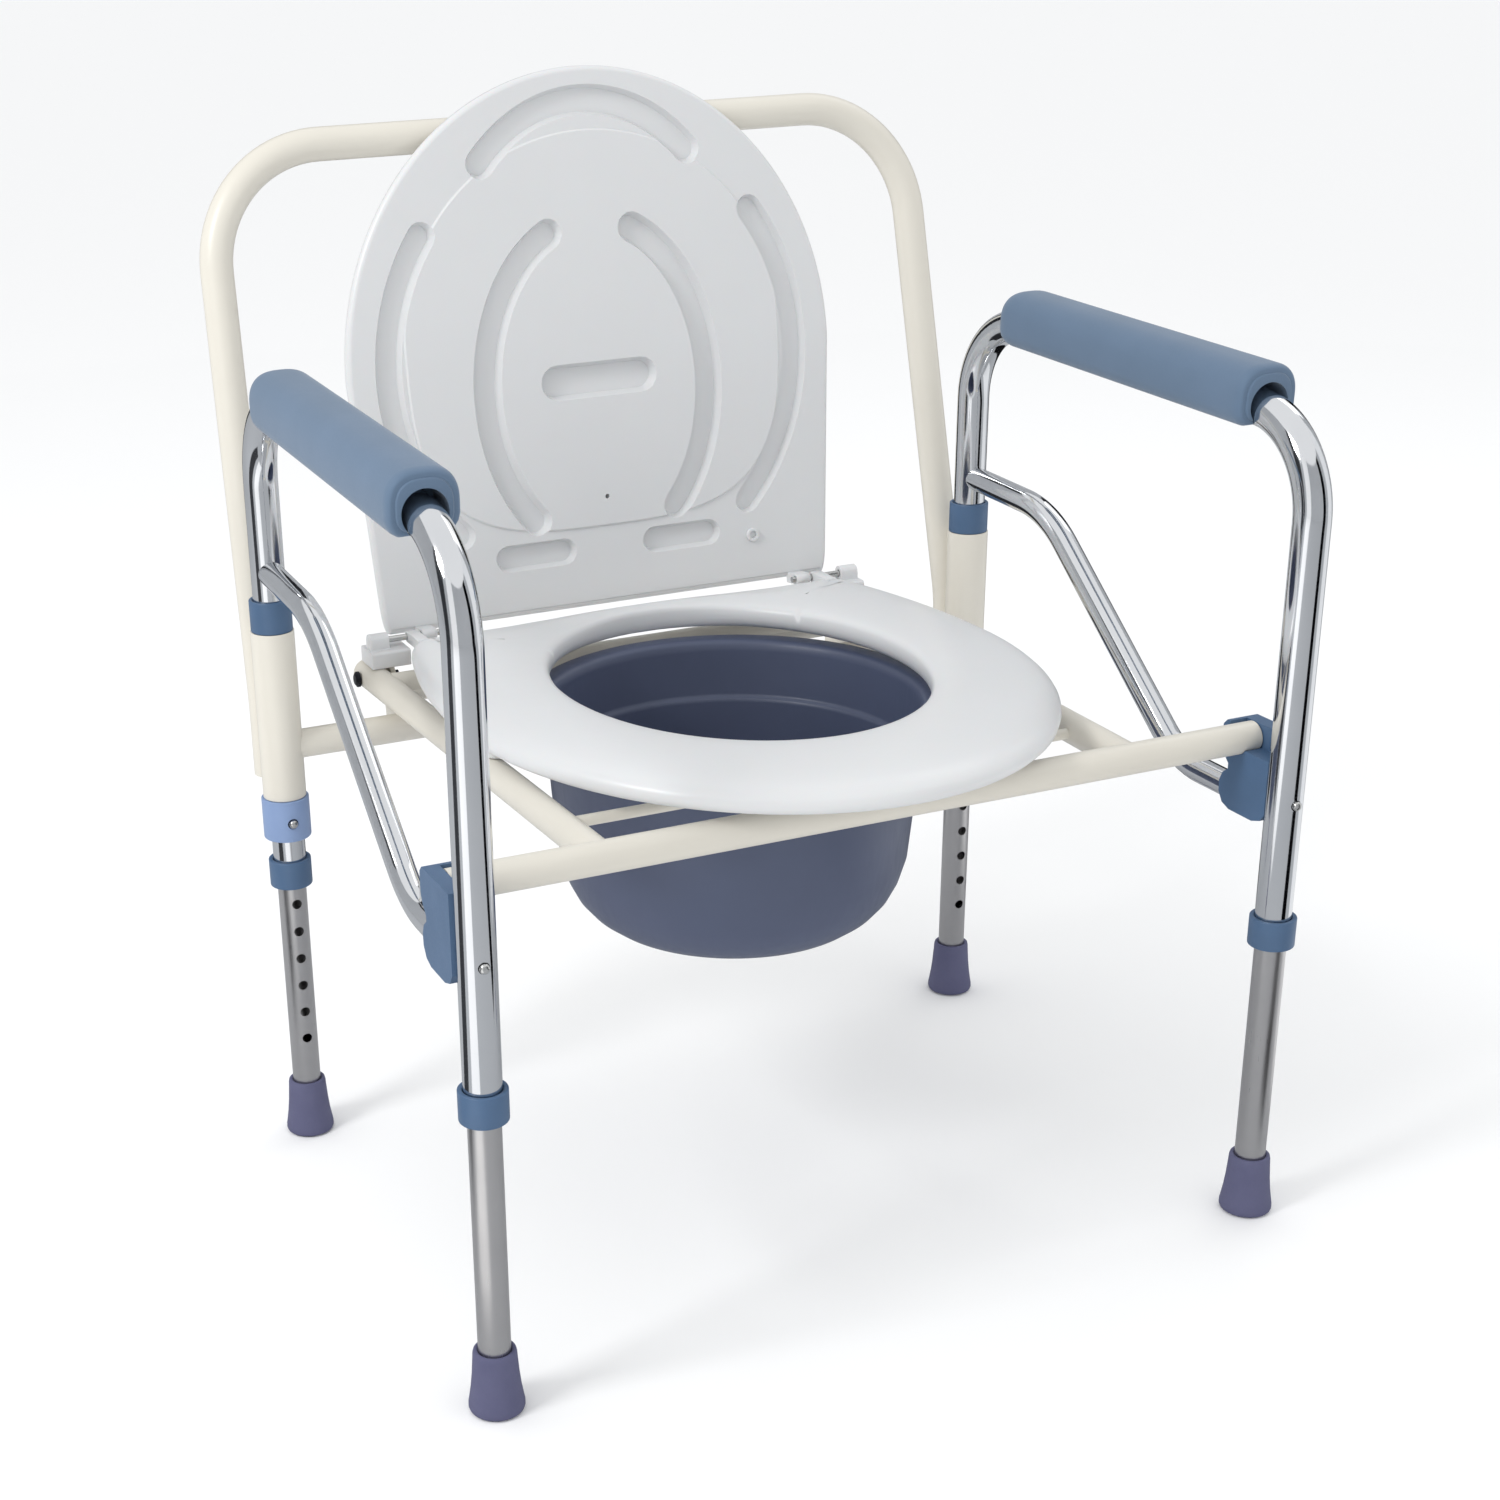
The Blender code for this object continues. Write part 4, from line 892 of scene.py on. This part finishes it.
def join_pieces(obj, others):
    """Puts other closed meshes into an object's mesh."""
    bm = bmesh.new()
    bm.from_mesh(obj.data)
    for other in others:
        bm.from_mesh(other.data)
        bpy.data.objects.remove(other)
    bm.to_mesh(obj.data)
    bm.free()
    return obj


def lid_outline(sizes):
    """The closed lid seen from above, with the hinge axis at the origin."""
    oval = 0.222
    straight, rear = oval - sizes.lid_length, sizes.lid_rear_half
    right = [(sizes.lid_half * math.cos(a), straight - oval * math.sin(a)) for a in arc_angles(90, 0, 60)]
    right += [(rear + (sizes.lid_half - rear) * k / 8, straight * k / 8) for k in range(7, 0, -1)]
    corner = arc_corner(Vector(right[-1]), Vector((rear, 0)), Vector((rear - 0.005, 0)))
    right += [tuple(p) for p in corner[1:]] + [(0.1720 * k / 4, 0.0) for k in range(4, 0, -1)]
    return right + [(-x, y) for x, y in right[:0:-1]]


def panel_outline():
    """The raised panel in the lid's underside: an oval whose rear half is squarer."""
    points = []
    for angle in arc_angles(0, 357, 119):
        bend = 0.62 if math.sin(angle) > 0 else 1.0
        x, y = (math.copysign(abs(part) ** bend, part) for part in (math.cos(angle), math.sin(angle)))
        points.append((0.1600 * x, -0.2165 + 0.1530 * y))
    return points


def lid_recesses():
    """The middle line and radius of each moulded slot in the lid's underside."""
    found = [
        ("top", arc_line((0, -0.243), (0.125, 0.148), -134, -46), 0.0105),
        ("middle", [(-0.036, -0.180), (0.036, -0.180)], 0.0125),
    ]
    for side, sign in SIDES:
        low = [(sign * 0.064 + reach, -0.047) for reach in (-0.024, 0.024)]
        found.append((f"low_{side}", low, 0.0100))
        for name, centre, semi, first, last, radius in (
            ("long", (0, -0.193), (0.174, 0.178), -37, 44, 0.0100),
            ("arc", (0, -0.173), (0.095, 0.130), -68, 50, 0.0105),
        ):
            span = (first, last) if sign > 0 else (180 - last, 180 - first)
            found.append((f"{name}_{side}", arc_line(centre, semi, *span), radius))
    return found


def lid_shell(outline):
    """The lid's body, with a rounded rim."""
    border = LID_LOW + 0.0012
    steps = (
        (0.0046, border), (0.0026, border + 0.0005), (0.0010, border + 0.0017), (0.0002, border + 0.0034),
        (0.0, border + 0.0060), (0.0008, LID_HIGH - 0.0040), (0.0030, LID_HIGH - 0.0020),
        (0.0065, LID_HIGH - 0.0009), (0.0120, LID_HIGH - 0.0002), (0.0180, LID_HIGH),
    )
    return loft("lid_moulding", [(inset_outline(outline, inset), z) for inset, z in steps], 60)


def lid_underside(board, outline):
    """Adds a plateau and a panel to the lid's underside, then cuts the drafted slots and the gate mark."""
    rear, top = -0.012, LID_LOW + 0.004
    plateau = []
    for inset, z in ((0.0256, LID_LOW + 0.0004), (0.0238, LID_LOW + 0.0016), (0.0238, top)):
        plateau.append(([Vector((p.x, min(p.y, rear))) for p in inset_outline(outline, inset)], z))
    oval = panel_outline()
    panel = [(inset_outline(oval, 0.0014), LID_LOW - 0.0004), (oval, LID_LOW + 0.0006), (oval, top)]
    cut_by(board, [loft("plateau", plateau), loft("panel", panel)], "UNION")
    below = LID_LOW - 0.004
    cutters = []
    for name, middle, radius in lid_recesses():
        mouth, floor = slot_outline(middle, radius + 0.0028), slot_outline(middle, radius - 0.0020)
        cutters.append(loft(name, [(mouth, below), (floor, LID_LOW + 0.0082)]))
    deep, radius = LID_LOW + 0.007, 0.0019
    dot = [(0, below), (radius, below), (radius, deep), (0, deep)]
    cutters.append(turned("dot", dot, (0, -0.087, 0), 24))
    cut_by(board, cutters)
    return eased(board, 0.0011, 3, 28)


def lid_board(sizes):
    """The lid, shaped closed and then stood up on its hinge, with its knuckles and a small round boss."""
    outline = lid_outline(sizes)
    board = lid_underside(lid_shell(outline), outline)
    extras = []
    for _, sign in SIDES:
        knuckle = [(KNUCKLE * math.cos(a), KNUCKLE * math.sin(a)) for a in arc_angles(180, 360, 16)]
        knuckle += [(KNUCKLE, LID_LOW + 0.004), (-KNUCKLE, LID_LOW + 0.004)]
        extras.append(hinge_lug(knuckle, (0, 0), (sign * 0.1590, sign * 0.1715), (sign * 0.15, sign * 0.18)))
    low, high = LID_LOW - 0.0014, LID_LOW + 0.003
    boss = softened([(0.0030, low), (0.0056, low), (0.0056, high), (0.0030, high)], 0.0006)
    extras.append(turned("boss", boss, (0.128, -0.040, 0), 40))
    join_pieces(board, extras)
    hinge = joint("lid_hinge")
    lean = math.radians(hinge["range_deg"][0])
    board.data.transform(Matrix.Translation(hinge["pos_m"]) @ Matrix.Rotation(lean, 4, "X"))
    return place_piece(board, "white_plastic", "lid", "lid")


def bucket_pail():
    """The bucket: a turned pail with a rolled flange, a step below its rim and a rounded base."""
    low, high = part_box("bucket")
    bottom, top = low.z, high.z
    outside = [
        (0, bottom + 0.0015), (0.060, bottom + 0.0015), (0.066, bottom + 0.0002), (0.078, bottom),
        (0.090, bottom + 0.0018), (0.102, bottom + 0.006), (0.112, bottom + 0.0135), (0.120, bottom + 0.023),
        (0.1260, bottom + 0.0350), (0.131, bottom + 0.052), (0.1360, bottom + 0.1020), (0.1402, top - 0.0100),
        (0.1412, top - 0.0088), (0.1435, top - 0.0082), (0.1545, top - 0.0060), (0.1568, top - 0.0052),
        (0.1579, top - 0.0032), (0.1572, top - 0.0012), (0.1556, top - 0.0002), (0.1530, top),
    ]
    inside = [
        (0.1450, top - 0.0002), (0.1412, top - 0.0008), (0.1390, top - 0.0030), (0.1380, top - 0.0085),
        (0.1362, top - 0.0430), (0.1356, top - 0.0446), (0.1340, top - 0.0456), (0.1326, top - 0.0466),
        (0.1320, top - 0.0490), (0.1285, bottom + 0.053), (0.1238, bottom + 0.0366),
        (0.1178, bottom + 0.0252), (0.1100, bottom + 0.0158), (0.1010, bottom + 0.0092),
        (0.0890, bottom + 0.0048), (0.0775, bottom + 0.0033), (0, bottom + 0.0033),
    ]
    obj = turned("bucket_moulding", outside + inside, (*axis_of("bucket"), 0), 144, sharp=50)
    return place_piece(obj, "bucket_plastic", "bucket", "bucket")


# ---------------------------------------------------------------- stage
def reflection_card(name, first, last, near, tone, height):
    """A card along the floor and up, which only mirrors see. Its angles in degrees start at the camera."""
    card, _, shader = new_finish(f"Card, {name}", {"Roughness": 1.0, "Specular IOR Level": 0.0})
    shader.inputs["Base Color"].default_value = linear(tone)
    whole = last - first == 360
    angles = arc_angles(CAMERA_BEARING + first, CAMERA_BEARING + last, max(2, round((last - first) / 6)))
    reach, top = 3.55, 3.4
    if whole:
        angles.pop()
        reach = 3.6
    far = [(reach * math.cos(a), reach * math.sin(a)) for a in angles]
    points = far if whole else far + [(near * math.cos(a), near * math.sin(a)) for a in reversed(angles)]
    corners = [(x, y, height) for x, y in points] + [(x, y, top) for x, y in far]
    faces = [list(range(len(points)))]
    for k in range(len(far) if whole else len(far) - 1):
        j = (k + 1) % len(far)
        faces.append([k, len(points) + k, len(points) + j, j])
    mesh = bpy.data.meshes.new(f"stage_card_{name}")
    mesh.from_pydata(corners, [], faces)
    obj = as_object(f"stage_card_{name}", mesh)
    obj.data.materials.append(card)
    obj.visible_camera = False
    obj.visible_diffuse = False
    obj.visible_shadow = False


def stage_floor():
    """A pale paper floor."""
    square = ((-60, -60), (60, -60), (60, 60), (-60, 60))
    floor = loft("stage_floor", [(square, -0.02), (square, -0.0002)])
    paper, _, shader = new_finish("Paper backdrop, matt", {"Specular IOR Level": 0.1, "Roughness": 0.9})
    shader.inputs["Base Color"].default_value = linear("#FBFBFB")
    floor.data.materials.append(paper)


def stage_cards():
    """A grey ring, and dark flags and white boards in front of it, for the chrome to mirror."""
    reflection_card("grey_ground", 0, 360, 0.75, "#B4B6B9", 0.0004)
    for name, first, last, tone in (
        ("black_right", 54, 70, "#08080A"),
        ("dark_left", -74, -52, "#3A3B3E"),
        ("white_left", -40, -14, "#FFFFFF"),
        ("white_right", 86, 120, "#F4F5F6"),
        ("black_rear", 142, 160, "#101012"),
        ("dark_rear_left", -170, -140, "#2A2B2E"),
    ):
        reflection_card(name, first, last, 0.55, tone, 0.0006)


def stage_lights():
    """An even white surrounding, a small key softbox and a weak fill."""
    world = bpy.data.worlds.new("Studio")
    bpy.context.scene.world = world
    world.use_nodes = True
    background = world.node_tree.nodes["Background"]
    background.inputs["Color"].default_value = linear("#FAFBFC")
    background.inputs["Strength"].default_value = 1.0
    aim = Vector((0, 0, 0.35))
    for name, place, size, power in (("key", (-2.1, -0.45, 2.1), 0.7, 26), ("fill", (1.9, 0.9, 2.2), 1.2, 5)):
        light = bpy.data.lights.new(f"Softbox {name}", "AREA")
        light.size = size
        light.energy = power
        lamp = bpy.data.objects.new(f"softbox_{name}", light)
        lamp.location = place
        lamp.rotation_euler = (aim - Vector(place)).to_track_quat("-Z", "Y").to_euler()
        bpy.context.scene.collection.objects.link(lamp)


def stage_camera():
    """The catalogue camera, to the left of the front and above the seat."""
    lens = bpy.data.cameras.new("Catalogue camera")
    lens.sensor_width = 36
    lens.lens = 56.5
    lens.shift_x, lens.shift_y = 0.1397, 0.0833
    lens.clip_end = 200
    camera = bpy.data.objects.new("catalogue_camera", lens)
    right, up = Vector((0.92541, -0.37772, -0.03072)), Vector((0.17332, 0.34975, 0.92067))
    turn = Matrix((right, up, right.cross(up))).transposed().to_4x4()
    camera.matrix_world = Matrix.Translation((-0.7403, -1.4955, 0.9326)) @ turn
    bpy.context.scene.collection.objects.link(camera)
    bpy.context.scene.camera = camera
    bpy.context.scene.view_settings.view_transform = "Standard"


# ---------------------------------------------------------------- properties
def length(name, default, description):
    """A length property in metres."""
    settings = {"name": name, "description": description, "default": default}
    return bpy.props.FloatProperty(unit="LENGTH", precision=4, **settings)


def colour(name, code, description):
    """A colour property whose default is an sRGB hex colour."""
    settings = {"name": name, "description": description, "default": linear(code)}
    return bpy.props.FloatVectorProperty(size=4, subtype="COLOR", min=0, max=1, **settings)


class CommodeSizes(bpy.types.PropertyGroup):
    chrome_radius: length("Chrome tube", 0.0127, "Radius of the side frames' 1 inch tube")
    inner_radius: length("Leg tube", 0.0111, "Radius of the telescopic leg tubes")
    brace_radius: length("Brace", 0.0095, "Radius of the side frames' brace")
    back_radius: length("Back tube", 0.0125, "Radius of the cream back tube")
    arm_front: length("Arm height, front", 0.588, "Height of the arm tube's axis at its front bend")
    arm_rear: length("Arm height, rear", 0.602, "Height of the arm tube's axis at its rear bend")
    arm_bend: length("Arm bend", 0.066, "Radius of the arm tube's bends")
    back_top_half: length("Back half width", 0.2925, "Half the back tube's width at its top")
    back_corner: length("Back corner", 0.090, "Radius of the back tube's upper corners")
    back_slope: bpy.props.FloatProperty(name="Back lean", description="Its run per rise", default=0.2284)
    hole_pitch: length("Hole pitch", 0.0233, "Distance between height holes")
    front_holes: bpy.props.IntProperty(name="Front holes", description="Holes in a front leg", default=5)
    rear_holes: bpy.props.IntProperty(name="Rear holes", description="Holes in a rear leg", default=9)
    seat_front_length: length("Seat front", 0.265, "From the seat's widest point to its front edge")
    opening_mid: length("Opening middle", 0.2485, "From the front legs to the middle of the seat opening")
    opening_half: length("Opening half width", 0.133, "Half the width of the seat opening")
    opening_length: length("Opening half length", 0.161, "Half the length of the seat opening")
    lid_length: length("Lid length", 0.416, "From the hinge axis to the lid's tip")
    lid_half: length("Lid half width", 0.207, "Half the lid's greatest width")
    lid_rear_half: length("Lid rear half width", 0.196, "Half the lid's width at its hinge")


class CommodeColours(bpy.types.PropertyGroup):
    cream: colour("Cream coat", "#D5D0C5", "Powder coat of the back and seat frames")
    pad: colour("Arm pads", "#586D83", "Foam skin of the arm pads")
    nylon: colour("Mid blue nylon", "#455E7B", "Clips, bushes and ring collars")
    collar: colour("Light blue nylon", "#7B91B8", "Retaining collars")
    rubber: colour("Feet", "#555673", "Rubber of the feet")
    white: colour("White plastic", "#D6D7D8", "Seat and lid")
    bucket: colour("Bucket", "#4B5269", "Plastic of the bucket")


# ---------------------------------------------------------------- operators
class CommodeOperator(bpy.types.Operator):
    """What every step of the chair shares"""

    bl_options = {"REGISTER", "UNDO"}


class COMMODE_OT_finishes(CommodeOperator):
    """Makes the chair's materials and the shared geometry node trees"""

    bl_idname = "commode.finishes"
    bl_label = "Finishes"

    def execute(self, context):
        FINISHES.update(make_finishes(context.scene.commode_colours))
        bent_bar_tree()
        hole_row_tree()
        return {"FINISHED"}


class COMMODE_OT_side_frames(CommodeOperator):
    """Makes the chrome side frames with their braces"""

    bl_idname = "commode.side_frames"
    bl_label = "Side frames"

    def execute(self, context):
        sizes = context.scene.commode_sizes
        for side, _ in SIDES:
            arm_tube(side, sizes)
            brace_tube(side, sizes)
        return {"FINISHED"}


class COMMODE_OT_arm_pads(CommodeOperator):
    """Makes the two foam arm pads"""

    bl_idname = "commode.arm_pads"
    bl_label = "Arm pads"

    def execute(self, context):
        for side, _ in SIDES:
            pad = arm_pad(side, context.scene.commode_sizes)
        return {"FINISHED"}


class COMMODE_OT_collars(CommodeOperator):
    """Makes the ring collars and the retaining collars"""

    bl_idname = "commode.collars"
    bl_label = "Collars"

    def execute(self, context):
        sizes = context.scene.commode_sizes
        for side, _ in SIDES:
            ring_collars(side, sizes)
            retaining_collar(side, sizes)
        return {"FINISHED"}


class COMMODE_OT_legs(CommodeOperator):
    """Makes the telescopic legs with their feet and snap buttons"""

    bl_idname = "commode.legs"
    bl_label = "Legs"

    def execute(self, context):
        sizes = context.scene.commode_sizes
        for side, _ in SIDES:
            for end in ENDS:
                inner_leg(end, side, sizes)
                foot(end, side, sizes)
                snap_button(end, side)
        return {"FINISHED"}


class COMMODE_OT_back_frame(CommodeOperator):
    """Makes the cream back frame with its sleeves and bushes"""

    bl_idname = "commode.back_frame"
    bl_label = "Back frame"

    def execute(self, context):
        sizes = context.scene.commode_sizes
        back_hoop(sizes)
        sleeves(sizes)
        return {"FINISHED"}


class COMMODE_OT_seat_frame(CommodeOperator):
    """Makes the cream seat frame and the bucket rods"""

    bl_idname = "commode.seat_frame"
    bl_label = "Seat frame"

    def execute(self, context):
        seat_frame()
        return {"FINISHED"}


class COMMODE_OT_hardware(CommodeOperator):
    """Finishes the clips, hinge blocks, pins, screws and bolts"""

    bl_idname = "commode.hardware"
    bl_label = "Hardware"

    def execute(self, context):
        kept_hardware()
        return {"FINISHED"}


class COMMODE_OT_seat(CommodeOperator):
    """Makes the moulded seat ring"""

    bl_idname = "commode.seat"
    bl_label = "Seat"

    def execute(self, context):
        seat_ring(context.scene.commode_sizes)
        return {"FINISHED"}


class COMMODE_OT_lid(CommodeOperator):
    """Makes the moulded lid, standing open"""

    bl_idname = "commode.lid"
    bl_label = "Lid"

    def execute(self, context):
        lid_board(context.scene.commode_sizes)
        return {"FINISHED"}


class COMMODE_OT_bucket(CommodeOperator):
    """Makes the bucket"""

    bl_idname = "commode.bucket"
    bl_label = "Bucket"

    def execute(self, context):
        bucket_pail()
        return {"FINISHED"}


class COMMODE_OT_stage(CommodeOperator):
    """Sets the floor, the studio light and the camera"""

    bl_idname = "commode.stage"
    bl_label = "Stage"

    def execute(self, context):
        stage_floor()
        stage_cards()
        stage_lights()
        stage_camera()
        return {"FINISHED"}


STEPS = (
    COMMODE_OT_finishes,
    COMMODE_OT_back_frame,
    COMMODE_OT_side_frames,
    COMMODE_OT_arm_pads,
    COMMODE_OT_collars,
    COMMODE_OT_legs,
    COMMODE_OT_seat_frame,
    COMMODE_OT_hardware,
    COMMODE_OT_seat,
    COMMODE_OT_lid,
    COMMODE_OT_bucket,
    COMMODE_OT_stage,
)


class COMMODE_PT_panel(bpy.types.Panel):
    bl_label = "Commode chair"
    bl_space_type = "VIEW_3D"
    bl_region_type = "UI"
    bl_category = "Commode"

    def draw(self, context):
        for step in STEPS:
            self.layout.operator(step.bl_idname)
        for group in (context.scene.commode_sizes, context.scene.commode_colours):
            box = self.layout.box()
            for name in group.__annotations__:
                box.prop(group, name)


CLASSES = (CommodeSizes, CommodeColours, *STEPS, COMMODE_PT_panel)


def register():
    for item in CLASSES:
        bpy.utils.register_class(item)
    bpy.types.Scene.commode_sizes = bpy.props.PointerProperty(type=CommodeSizes)
    bpy.types.Scene.commode_colours = bpy.props.PointerProperty(type=CommodeColours)


def unregister():
    del bpy.types.Scene.commode_colours
    del bpy.types.Scene.commode_sizes
    for item in reversed(CLASSES):
        bpy.utils.unregister_class(item)


def main():
    register()
    for step in STEPS:
        getattr(bpy.ops.commode, step.bl_idname.split(".")[1])()


if __name__ == "__main__":
    main()
